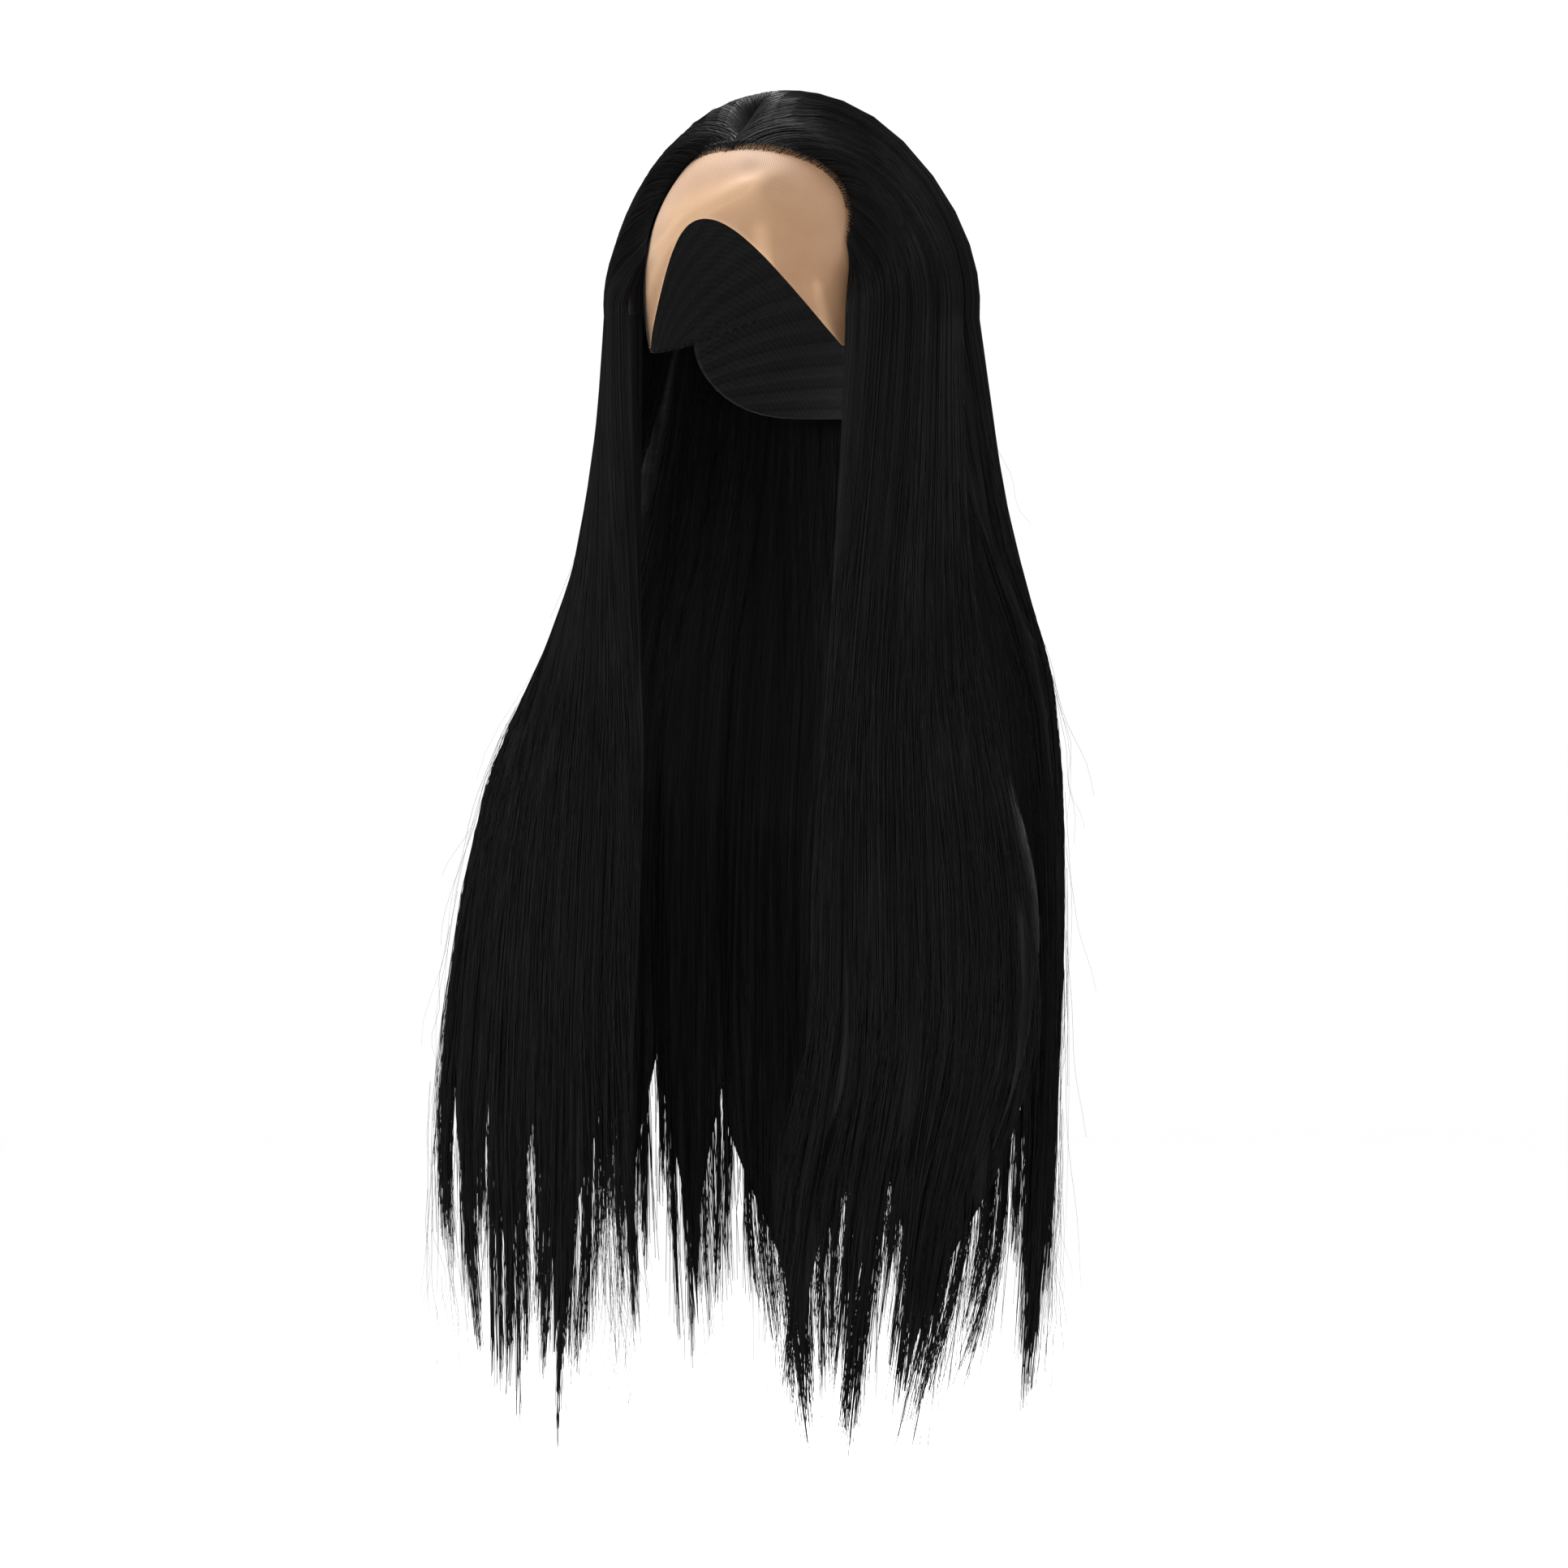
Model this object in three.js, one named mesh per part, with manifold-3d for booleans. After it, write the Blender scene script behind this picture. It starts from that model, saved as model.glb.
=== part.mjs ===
// A long straight lace front wig, in the form that it has when worn.
// Millimetres. +Z is up, the face side looks along -Y, and +X is the wearer's left.
// The origin is the inside of the cap at the crown, where the top of the head bears.
import * as THREE from "three";
import { mergeVertices } from "three/addons/utils/BufferGeometryUtils.js";
import Module from "manifold-3d";

const wasm = await Module();
wasm.setup();

// The head that the cap is cut for, measured inside the cap
const HEAD_BREADTH = 152;
const HEAD_LENGTH = 192;
const CROWN_HEIGHT = 95; // from the crown down to the widest level
const LOWER_HEIGHT = 120; // how the head narrows below that level

// Walls, and the clearance between pieces that touch
const CAP_WALL = 1.5;
const LACE_WALL = 1;
const GAP = 0.3;

// The hairline, an arch across the top of the forehead, and the lace that runs back under the hair
const HAIRLINE_WIDTH = 116;
const HAIRLINE_DROP = 15; // below the crown, at its middle
const HAIRLINE_SHOULDER = 50; // height of the arch's round top
const UNDERLAP_SIDE = 10;
const UNDERLAP_TOP = 11;

// The lace's cut edge: an arch whose peak is off the middle, towards the wearer's right
const CUT_PEAK_DROP = 58;
const CUT_PEAK_OFFSET = 11;
const CUT_END_BELOW = 33; // below the head's widest level

// The cap's hem: ear tabs, a rise round each ear, and the nape
const EAR_TAB_BELOW = 35; // below the head's widest level
const EAR_RISE_BELOW = 9;
const EAR_FRONT = 24; // in front of the head's middle
const EAR_BACK = 30; // behind it
const NAPE_BELOW = 70;
const NAPE_BACK = 72; // where the hem reaches the nape, behind the head's middle

// The hair that lies on the cap
const TOP_DEPTH = 15; // hair above the crown
const SIDE_DEPTH = 21; // hair beside and behind the head
const ROOT_DEPTH = 4; // hair just behind the hairline
const ROOT_RUN = 34; // how far back from the hairline it takes to reach its full depth
const CORNER_DEPTH = 10; // more behind the ears, where the hair is thickest
const PART_DIP = 3.5; // the dent where the hair divides above the forehead
const PART_WIDTH = 14;
const PART_OFFSET = 9; // of the dent, towards the wearer's right

// The hair that hangs
const RIM_BELOW = 15; // from the head's widest level to where the hair leaves the head
const FALL_LENGTH = 642; // from there to the longest tip
const FALL_DEPTH = 20; // thickness of a fall at its top
const RIM_CLEARANCE = 1; // between the cap and a fall
const BEHIND_EAR = 105; // degrees round from the face, where the front falls end and the back begins
const FALL_SPLIT = 1.2; // clear width between a front fall and the back at the rim
const SIDE_FLARE = 92; // how far a front fall spreads past the side of the head
const FORWARD_SWEEP = 96; // how far its outer edge comes forward, over the shoulder
const BOW_FLARE = 0.26; // share of the flare that the middle of a front fall takes
const BOW_SWEEP = 0.7; // share of the sweep that it takes
const FACE_SET = 3.5; // from the hairline's side out to the fall's inner edge, at the rim
const FACE_CLOSE = 12; // how far its inner edge swings in below the cheek
const CHEST_RISE = 16; // how far its inner edge is pushed forward by the chest
const BACK_FLARE = 56; // how far the back spreads past the side of the head
const NAPE_FLARE = 0.68; // share of that flare that the back takes between its edge and its middle
const BACK_TUCK = 22; // how far its side edge goes back behind the shoulder
const BACK_SINK = 24; // how far its middle falls in towards the spine
const LOCK_TIP = 2.4; // width and thickness of a lock's end
const LOCK_OVERLAP = 3; // how far neighbouring locks run into each other

// Levels below the crown
const CUT_END_DROP = CROWN_HEIGHT + CUT_END_BELOW;
const EAR_TAB_DROP = CROWN_HEIGHT + EAR_TAB_BELOW;
const EAR_RISE_DROP = CROWN_HEIGHT + EAR_RISE_BELOW;
const NAPE_DROP = CROWN_HEIGHT + NAPE_BELOW;
const RIM_DROP = CROWN_HEIGHT + RIM_BELOW;

// The plans of the falls at each level. drop and depth are shares of FALL_LENGTH and FALL_DEPTH.
// For a front fall, earOut is a share of SIDE_FLARE, earFore of FORWARD_SWEEP, faceIn of FACE_CLOSE,
// and faceUp of CHEST_RISE.
const LEFT_LEVELS = [
  { drop: 0, earOut: 0, earFore: 0, faceIn: 0, faceUp: 0, depth: 1 },
  { drop: 0.08, earOut: 0.1, earFore: 0.17, faceIn: 0.1, faceUp: 0.13, depth: 1 },
  { drop: 0.16, earOut: 0.24, earFore: 0.36, faceIn: 0.1, faceUp: 0.25, depth: 0.98 },
  { drop: 0.23, earOut: 0.4, earFore: 0.57, faceIn: 0, faceUp: 0.5, depth: 0.93 },
  { drop: 0.3, earOut: 0.62, earFore: 0.78, faceIn: -0.2, faceUp: 0.75, depth: 0.87 },
  { drop: 0.375, earOut: 0.8, earFore: 0.93, faceIn: -0.1, faceUp: 1, depth: 0.82 },
  { drop: 0.5, earOut: 1.04, earFore: 0.98, faceIn: 0.4, faceUp: 1, depth: 0.78 },
  { drop: 0.64, earOut: 1.04, earFore: 0.98, faceIn: 0.7, faceUp: 0.88, depth: 0.7 },
  { drop: 0.76, earOut: 0.74, earFore: 0.98, faceIn: 2.3, faceUp: 0.75, depth: 0.6 },
  { drop: 1, earOut: 0.4, earFore: 1, faceIn: 3.2, faceUp: 0.5, depth: 0.5 },
];
const RIGHT_LEVELS = [
  { drop: 0, earOut: 0, earFore: 0, faceIn: 0, faceUp: 0, depth: 1 },
  { drop: 0.08, earOut: 0.07, earFore: 0.16, faceIn: 0.17, faceUp: 0.13, depth: 1 },
  { drop: 0.16, earOut: 0.16, earFore: 0.35, faceIn: 0.42, faceUp: 0.25, depth: 0.98 },
  { drop: 0.23, earOut: 0.24, earFore: 0.55, faceIn: 0.7, faceUp: 0.5, depth: 0.93 },
  { drop: 0.3, earOut: 0.4, earFore: 0.75, faceIn: 1, faceUp: 0.75, depth: 0.87 },
  { drop: 0.375, earOut: 0.63, earFore: 0.93, faceIn: 1.3, faceUp: 1, depth: 0.82 },
  { drop: 0.5, earOut: 0.88, earFore: 1, faceIn: 1.1, faceUp: 1, depth: 0.78 },
  { drop: 0.64, earOut: 1.06, earFore: 0.98, faceIn: 0.7, faceUp: 0.88, depth: 0.7 },
  { drop: 0.76, earOut: 1.1, earFore: 0.98, faceIn: 0.6, faceUp: 0.75, depth: 0.6 },
  { drop: 1, earOut: 0.95, earFore: 1, faceIn: 0.6, faceUp: 0.5, depth: 0.5 },
];
// For the back, edgeOut is a share of BACK_FLARE, edgeTuck of BACK_TUCK, and sink of BACK_SINK.
const BACK_LEVELS = [
  { drop: 0, edgeOut: 0, edgeTuck: 0, sink: 0, depth: 1 },
  { drop: 0.06, edgeOut: 0.13, edgeTuck: 0, sink: 0, depth: 1 },
  { drop: 0.12, edgeOut: 0.25, edgeTuck: 0.05, sink: 0.04, depth: 1 },
  { drop: 0.17, edgeOut: 0.37, edgeTuck: 0.12, sink: 0.1, depth: 0.98 },
  { drop: 0.22, edgeOut: 0.54, edgeTuck: 0.25, sink: 0.18, depth: 0.95 },
  { drop: 0.28, edgeOut: 0.78, edgeTuck: 0.5, sink: 0.34, depth: 0.9 },
  { drop: 0.34, edgeOut: 0.92, edgeTuck: 0.7, sink: 0.46, depth: 0.86 },
  { drop: 0.42, edgeOut: 0.98, edgeTuck: 0.9, sink: 0.6, depth: 0.82 },
  { drop: 0.54, edgeOut: 1, edgeTuck: 1, sink: 0.7, depth: 0.77 },
  { drop: 0.68, edgeOut: 0.96, edgeTuck: 1, sink: 0.83, depth: 0.68 },
  { drop: 0.8, edgeOut: 0.9, edgeTuck: 1, sink: 0.94, depth: 0.6 },
  { drop: 1, edgeOut: 0.7, edgeTuck: 1.05, sink: 1, depth: 0.5 },
];

// The locks that each fall ends in. from, to and tip are shares of the way across the fall: from the
// face to the ear on a front fall, and from the wearer's left to the right on the back. length is a
// share of FALL_LENGTH, and narrow is the share of the lock's own length where it begins to taper.
const LEFT_LOCKS = [
  { from: 0, to: 0.22, tip: 0.08, length: 0.92, narrow: 0.7 },
  { from: 0.22, to: 0.53, tip: 0.34, length: 0.97, narrow: 0.7 },
  { from: 0.53, to: 0.86, tip: 0.66, length: 0.96, narrow: 0.68 },
  { from: 0.86, to: 1, tip: 0.93, length: 0.8, narrow: 0.65 },
];
const RIGHT_LOCKS = [
  { from: 0, to: 0.13, tip: 0.05, length: 0.83, narrow: 0.72 },
  { from: 0.13, to: 0.43, tip: 0.38, length: 1, narrow: 0.68 },
  { from: 0.43, to: 0.69, tip: 0.6, length: 0.97, narrow: 0.72 },
  { from: 0.69, to: 0.9, tip: 0.79, length: 0.93, narrow: 0.74 },
  { from: 0.9, to: 1, tip: 0.95, length: 0.86, narrow: 0.7 },
];
const BACK_LOCKS = [
  { from: 0, to: 0.185, tip: 0.1, length: 0.95, narrow: 0.68 },
  { from: 0.185, to: 0.475, tip: 0.42, length: 0.99, narrow: 0.68 },
  { from: 0.475, to: 0.705, tip: 0.57, length: 0.985, narrow: 0.7 },
  { from: 0.705, to: 0.84, tip: 0.77, length: 0.93, narrow: 0.68 },
  { from: 0.84, to: 1, tip: 0.93, length: 0.885, narrow: 0.7 },
];

// Mesh fineness
const HEAD_COLUMNS = 40;
const HEAD_ROWS = 24;
const CURVE_STEPS = 14;
const LOCK_STEPS = 15;
const FAR = 400; // past every piece, for the tools that cut

// A lock's section: across runs from -1 to 1 over its width, and out from -1, inside, to 1, outside.
const LOCK_SECTION = [
  { across: -1, out: 0.62 },
  { across: -0.5, out: 0.93 },
  { across: 0, out: 1 },
  { across: 0.5, out: 0.93 },
  { across: 1, out: 0.62 },
  { across: 1, out: -0.8 },
  { across: 0, out: -1 },
  { across: -1, out: -0.8 },
];

const mix = THREE.MathUtils.lerp;
const ramp = THREE.MathUtils.smoothstep; // ramp(x, low, high)

// A closed geometry as a solid that can be cut and joined.
function solidOf(geometry) {
  const bare = geometry.clone();
  bare.deleteAttribute("normal");
  bare.deleteAttribute("uv");
  const merged = mergeVertices(bare, 1e-4);
  return new wasm.Manifold(
    new wasm.Mesh({
      numProp: 3,
      vertProperties: merged.attributes.position.array,
      triVerts: new Uint32Array(merged.index.array),
    }),
  );
}

function geometryOf(solid) {
  const { vertProperties, triVerts } = solid.getMesh();
  const geometry = new THREE.BufferGeometry();
  geometry.setAttribute("position", new THREE.BufferAttribute(new Float32Array(vertProperties), 3));
  geometry.setIndex(new THREE.BufferAttribute(new Uint32Array(triVerts), 1));
  geometry.computeVertexNormals();
  return geometry;
}

// The head, an egg that is longer than it is broad, grown outwards by growth(point) at each point.
function headForm(growth) {
  const sphere = new THREE.SphereGeometry(1, HEAD_COLUMNS, HEAD_ROWS).rotateX(Math.PI / 2);
  const position = sphere.getAttribute("position");
  const unit = new THREE.Vector3();
  for (let i = 0; i < position.count; i++) {
    unit.fromBufferAttribute(position, i);
    const height = unit.z >= 0 ? CROWN_HEIGHT : LOWER_HEIGHT;
    const half = new THREE.Vector3(HEAD_BREADTH / 2, HEAD_LENGTH / 2, height);
    const point = unit.clone().multiply(half);
    const normal = unit.clone().divide(half).normalize();
    point.z -= CROWN_HEIGHT;
    point.addScaledVector(normal, growth(point));
    position.setXYZ(i, point.x, point.y, point.z);
  }
  return solidOf(sphere);
}

// An outline in X and Z, carried forward from the head's middle.
function forwardPrism(shape) {
  const options = { depth: FAR, bevelEnabled: false, curveSegments: CURVE_STEPS };
  return solidOf(new THREE.ExtrudeGeometry(shape, options).rotateX(Math.PI / 2));
}

// An outline in Y and Z, carried across the whole width.
function sidewaysPrism(shape) {
  const options = { depth: 2 * FAR, bevelEnabled: false, curveSegments: CURVE_STEPS };
  const turn = new THREE.Matrix4().makeBasis(
    new THREE.Vector3(0, 1, 0),
    new THREE.Vector3(0, 0, 1),
    new THREE.Vector3(1, 0, 0),
  );
  return solidOf(new THREE.ExtrudeGeometry(shape, options).applyMatrix4(turn).translate(-FAR, 0, 0));
}

// An arch whose top is a half ellipse, widened by side and raised by top from the hairline's own.
function archShape(side, top) {
  const half = HAIRLINE_WIDTH / 2 + side;
  const rise = HAIRLINE_SHOULDER + top;
  const spring = -HAIRLINE_DROP - HAIRLINE_SHOULDER;
  const shape = new THREE.Shape();
  shape.moveTo(-half, -FAR);
  shape.lineTo(half, -FAR);
  shape.lineTo(half, spring);
  shape.absellipse(0, spring, half, rise, 0, Math.PI, false, 0);
  return shape;
}

// The opening under the lace's cut edge: one curve up from each temple to the peak.
function cutShape() {
  const end = HAIRLINE_WIDTH / 2;
  const fall = CUT_END_DROP - CUT_PEAK_DROP;
  const peak = -CUT_PEAK_OFFSET;
  const shape = new THREE.Shape();
  shape.moveTo(-end, -FAR);
  shape.lineTo(end, -FAR);
  shape.lineTo(end, -CUT_END_DROP);
  shape.bezierCurveTo(
    mix(peak, end, 0.72), -CUT_PEAK_DROP - 0.42 * fall,
    mix(peak, end, 0.3), -CUT_PEAK_DROP,
    peak, -CUT_PEAK_DROP,
  );
  shape.bezierCurveTo(
    mix(peak, -end, 0.52), -CUT_PEAK_DROP,
    mix(peak, -end, 0.4), -CUT_PEAK_DROP - 0.5 * fall,
    -end, -CUT_END_DROP,
  );
  return shape;
}

// What lies below the cap's hem, seen from the side.
function belowHemShape() {
  const earTop = -EAR_RISE_DROP;
  const earMiddle = (EAR_BACK - EAR_FRONT) / 2;
  const shape = new THREE.Shape();
  shape.moveTo(-FAR, -FAR);
  shape.lineTo(FAR, -FAR);
  shape.lineTo(FAR, -NAPE_DROP);
  shape.lineTo(NAPE_BACK, -NAPE_DROP);
  shape.bezierCurveTo(
    mix(NAPE_BACK, EAR_BACK, 0.6), -NAPE_DROP,
    EAR_BACK, mix(-NAPE_DROP, earTop, 0.4),
    EAR_BACK, -EAR_TAB_DROP,
  );
  shape.quadraticCurveTo(EAR_BACK, earTop, earMiddle, earTop);
  shape.quadraticCurveTo(-EAR_FRONT, earTop, -EAR_FRONT, -EAR_TAB_DROP);
  shape.lineTo(-FAR, -EAR_TAB_DROP);
  return shape;
}

// The cap: a cloth wall over the head, open at the face and trimmed along the hem.
function capSolid() {
  return headForm(() => CAP_WALL)
    .subtract(headForm(() => 0))
    .subtract(forwardPrism(archShape(UNDERLAP_SIDE, UNDERLAP_TOP)))
    .subtract(sidewaysPrism(belowHemShape()));
}

// The lace: a thin wall that fills the cap's front, down to its cut edge.
function laceSolid() {
  return headForm(() => LACE_WALL)
    .subtract(headForm(() => 0))
    .intersect(forwardPrism(archShape(UNDERLAP_SIDE - GAP, UNDERLAP_TOP - GAP)))
    .subtract(forwardPrism(cutShape()))
    .subtract(sidewaysPrism(belowHemShape()));
}

// Depth of the hair on the cap: thin at the hairline's roots, full behind them, deeper down the
// sides, and dented where the hair divides.
function hairDepth(point) {
  const full = mix(TOP_DEPTH, SIDE_DEPTH, ramp(-point.z, 0, RIM_DROP));
  const root = mix(ROOT_DEPTH, SIDE_DEPTH, ramp(-point.z, HAIRLINE_DROP, RIM_DROP));
  const front = -(HEAD_LENGTH / 2) * Math.sqrt(1 - (1 - HAIRLINE_DROP / CROWN_HEIGHT) ** 2);
  const back = ramp(point.y, front, front + ROOT_RUN);
  const divide = Math.exp(-(((point.x + PART_OFFSET) / PART_WIDTH) ** 2)) * ramp(-point.y, 0, -front);
  const turn = Math.atan2(point.x / HEAD_BREADTH, point.y / HEAD_LENGTH);
  const behind = point.y > 0 ? Math.sin(2 * turn) ** 2 : 0;
  const corner = CORNER_DEPTH * behind * ramp(-point.z, SIDE_DEPTH, RIM_DROP);
  return mix(root, full, back) + corner - PART_DIP * divide * back;
}

// The hair on the cap, from the hairline over the crown to the level where it leaves the head.
function crownHairSolid() {
  const belowRim = new THREE.BoxGeometry(2 * FAR, 2 * FAR, FAR);
  belowRim.translate(0, 0, -RIM_DROP - FAR / 2);
  return headForm((point) => CAP_WALL + GAP + hairDepth(point))
    .subtract(headForm(() => CAP_WALL + GAP))
    .subtract(forwardPrism(archShape(0, 0)))
    .subtract(solidOf(belowRim));
}

// A table's column at a drop, on a smooth curve through its rows.
function level(levels, column, drop) {
  const last = levels.length - 1;
  let i = 0;
  while (i < last - 1 && levels[i + 1].drop < drop) i++;
  const slope = (k) => {
    const a = levels[Math.max(k - 1, 0)];
    const b = levels[Math.min(k + 1, last)];
    return (b[column] - a[column]) / (b.drop - a.drop);
  };
  const low = levels[i];
  const high = levels[i + 1];
  const step = high.drop - low.drop;
  const t = THREE.MathUtils.clamp((drop - low.drop) / step, 0, 1);
  return (
    low[column] * (1 + 2 * t) * (1 - t) ** 2 +
    high[column] * t * t * (3 - 2 * t) +
    slope(i) * step * t * (1 - t) ** 2 -
    slope(i + 1) * step * t * t * (1 - t)
  );
}

// The ring on which the falls' mid-thickness starts, round the cap at the rim.
const RIM_SHARE = Math.sqrt(1 - Math.max(0, (RIM_DROP - CROWN_HEIGHT) / LOWER_HEIGHT) ** 2);
const RIM_OFFSET = CAP_WALL + RIM_CLEARANCE + FALL_DEPTH / 2;
const RIM_X = (HEAD_BREADTH / 2) * RIM_SHARE + RIM_OFFSET;
const RIM_Y = (HEAD_LENGTH / 2) * RIM_SHARE + RIM_OFFSET;
const FACE_ANGLE = Math.asin((HAIRLINE_WIDTH / 2 + FACE_SET) / RIM_X);
const EAR_ANGLE = THREE.MathUtils.degToRad(BEHIND_EAR);

function rimPoint(angle) {
  return new THREE.Vector2(RIM_X * Math.sin(angle), -RIM_Y * Math.cos(angle));
}

// Where the rim's tangents at two angles cross: the middle point of a curve between them.
function rimCorner(angleA, angleB) {
  const half = (angleB - angleA) / 2;
  return rimPoint((angleA + angleB) / 2).divideScalar(Math.cos(half));
}

// The plan curve of a front fall at a drop, as on the wearer's left: its face edge, bow and ear edge.
function frontPlan(levels, drop) {
  const split = FALL_SPLIT / 2 / RIM_Y;
  const face = rimPoint(FACE_ANGLE);
  const bow = rimCorner(FACE_ANGLE, EAR_ANGLE - split);
  const ear = rimPoint(EAR_ANGLE - split);
  face.x -= level(levels, "faceIn", drop) * FACE_CLOSE;
  face.y -= level(levels, "faceUp", drop) * CHEST_RISE;
  const flare = level(levels, "earOut", drop) * SIDE_FLARE;
  const sweep = level(levels, "earFore", drop) * FORWARD_SWEEP;
  bow.x += BOW_FLARE * flare;
  bow.y -= BOW_SWEEP * sweep;
  ear.x += flare;
  ear.y -= sweep;
  return new THREE.QuadraticBezierCurve(face, bow, ear);
}

// The plan curve of the back's left half at a drop: its side edge, bow and middle.
function backPlan(levels, drop) {
  const split = FALL_SPLIT / 2 / RIM_Y;
  const edge = rimPoint(EAR_ANGLE + split);
  const nape = rimCorner(EAR_ANGLE + split, Math.PI);
  const middle = rimPoint(Math.PI);
  nape.setLength(nape.length() + 2 * CORNER_DEPTH * Math.sin(EAR_ANGLE) ** 2);
  const flare = level(levels, "edgeOut", drop) * BACK_FLARE;
  const sink = level(levels, "sink", drop) * BACK_SINK;
  edge.x += flare;
  edge.y += level(levels, "edgeTuck", drop) * BACK_TUCK;
  nape.x += NAPE_FLARE * flare;
  nape.y -= sink;
  middle.y -= sink;
  return new THREE.QuadraticBezierCurve(edge, nape, middle);
}

const FALLS = {
  left: { levels: LEFT_LEVELS, locks: LEFT_LOCKS, plan: frontPlan, mirrored: false, halves: 1 },
  right: { levels: RIGHT_LEVELS, locks: RIGHT_LOCKS, plan: frontPlan, mirrored: true, halves: 1 },
  back: { levels: BACK_LEVELS, locks: BACK_LOCKS, plan: backPlan, mirrored: false, halves: 2 },
};

// A point of a fall: across is the share of its width, and out is from -1, inside, to 1, outside.
function fallPoint(fall, plan, across, drop, out, thin) {
  const half = fall.halves === 2 ? 1 - Math.abs(2 * across - 1) : across;
  const place = plan.getPoint(half);
  const along = plan.getTangent(half);
  const reach = (out * thin * level(fall.levels, "depth", drop) * FALL_DEPTH) / 2;
  const x = place.x + along.y * reach;
  const y = place.y - along.x * reach;
  const turned = fall.mirrored || (fall.halves === 2 && across > 0.5);
  return new THREE.Vector3(turned ? -x : x, y, -RIM_DROP - GAP - drop * FALL_LENGTH);
}

// One lock: its section carried down the fall, narrowing to its tip.
function lockSolid(fall, lock) {
  const positions = [];
  const corners = LOCK_SECTION.length;
  for (let step = 0; step <= LOCK_STEPS; step++) {
    const share = step / LOCK_STEPS;
    const drop = share * lock.length;
    const taper = ramp(share, lock.narrow, 1) ** 0.8;
    const plan = fall.plan(fall.levels, drop);
    const width = plan.getLength() * fall.halves;
    const lap = LOCK_OVERLAP / 2 / width;
    const from = lock.from > 0 ? lock.from - lap : 0;
    const to = lock.to < 1 ? lock.to + lap : 1;
    const centre = mix((from + to) / 2, lock.tip, taper);
    const half = mix((to - from) / 2, LOCK_TIP / 2 / width, taper);
    const thin = mix(1, LOCK_TIP / (level(fall.levels, "depth", drop) * FALL_DEPTH), taper);
    for (const corner of LOCK_SECTION) {
      const point = fallPoint(fall, plan, centre + corner.across * half, drop, corner.out, thin);
      positions.push(point.x, point.y, point.z);
    }
  }
  const triangles = [];
  const add = (a, b, c) => triangles.push(...(fall.mirrored ? [a, c, b] : [a, b, c]));
  for (let step = 0; step < LOCK_STEPS; step++) {
    for (let i = 0; i < corners; i++) {
      const j = (i + 1) % corners;
      const top = step * corners;
      const low = top + corners;
      add(top + i, low + i, low + j);
      add(top + i, low + j, top + j);
    }
  }
  const end = LOCK_STEPS * corners;
  for (let i = 1; i < corners - 1; i++) {
    add(0, i, i + 1);
    add(end, end + i + 1, end + i);
  }
  const geometry = new THREE.BufferGeometry();
  geometry.setAttribute("position", new THREE.BufferAttribute(new Float32Array(positions), 3));
  geometry.setIndex(triangles);
  return solidOf(geometry);
}

function fallSolid(fall) {
  return wasm.Manifold.union(fall.locks.map((lock) => lockSolid(fall, lock)));
}

const hairMaterial = new THREE.MeshStandardMaterial({ color: 0x0d0d0f, roughness: 0.42, metalness: 0 });
const capMaterial = new THREE.MeshStandardMaterial({ color: 0x151313, roughness: 0.9, metalness: 0 });
const laceMaterial = new THREE.MeshStandardMaterial({
  color: 0xd9b592,
  roughness: 0.85,
  metalness: 0,
  transparent: true,
  opacity: 0.8,
});

function meshOf(name, geometry, material) {
  const mesh = new THREE.Mesh(geometry, material);
  mesh.name = name;
  return mesh;
}

const wig = new THREE.Group();
wig.name = "lace_front_wig";
wig.add(meshOf("cap", geometryOf(capSolid()), capMaterial));
wig.add(meshOf("lace_front", geometryOf(laceSolid()), laceMaterial));
wig.add(meshOf("crown_hair", geometryOf(crownHairSolid()), hairMaterial));
for (const [side, fall] of Object.entries(FALLS)) {
  wig.add(meshOf(`${side}_fall`, geometryOf(fallSolid(fall)), hairMaterial));
}

export default wig;
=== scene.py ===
"""Looks for a long straight lace front wig: combed strands, sheer lace and cap cloth."""

import math

import bmesh
import bpy
import numpy as np
from bpy.props import FloatProperty, FloatVectorProperty, PointerProperty
from mathutils import Matrix, Vector


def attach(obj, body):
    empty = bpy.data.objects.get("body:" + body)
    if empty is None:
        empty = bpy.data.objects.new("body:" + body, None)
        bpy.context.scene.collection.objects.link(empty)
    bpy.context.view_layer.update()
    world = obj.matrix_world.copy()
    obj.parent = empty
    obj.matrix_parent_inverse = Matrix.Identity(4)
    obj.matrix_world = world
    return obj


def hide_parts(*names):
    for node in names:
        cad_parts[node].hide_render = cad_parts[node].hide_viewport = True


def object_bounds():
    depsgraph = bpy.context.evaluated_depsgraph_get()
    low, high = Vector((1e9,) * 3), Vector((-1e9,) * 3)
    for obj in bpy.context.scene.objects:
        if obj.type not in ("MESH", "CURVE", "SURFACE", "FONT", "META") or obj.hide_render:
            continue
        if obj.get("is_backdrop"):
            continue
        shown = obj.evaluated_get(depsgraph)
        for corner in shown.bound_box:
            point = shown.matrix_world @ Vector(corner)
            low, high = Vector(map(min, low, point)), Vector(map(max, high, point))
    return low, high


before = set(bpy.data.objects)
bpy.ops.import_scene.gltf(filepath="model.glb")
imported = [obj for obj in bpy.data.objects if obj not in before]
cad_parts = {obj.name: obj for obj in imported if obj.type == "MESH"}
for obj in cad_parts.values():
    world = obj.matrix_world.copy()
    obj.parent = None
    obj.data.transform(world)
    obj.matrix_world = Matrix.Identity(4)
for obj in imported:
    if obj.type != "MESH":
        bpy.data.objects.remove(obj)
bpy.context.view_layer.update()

bl_info = {
    "name": "Lace front wig",
    "version": (1, 0, 0),
    "blender": (4, 5, 0),
    "location": "3D View > Sidebar > Wig",
    "description": "Builds a long straight lace front wig strand by strand",
    "category": "Object",
}

MM = 0.001

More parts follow.
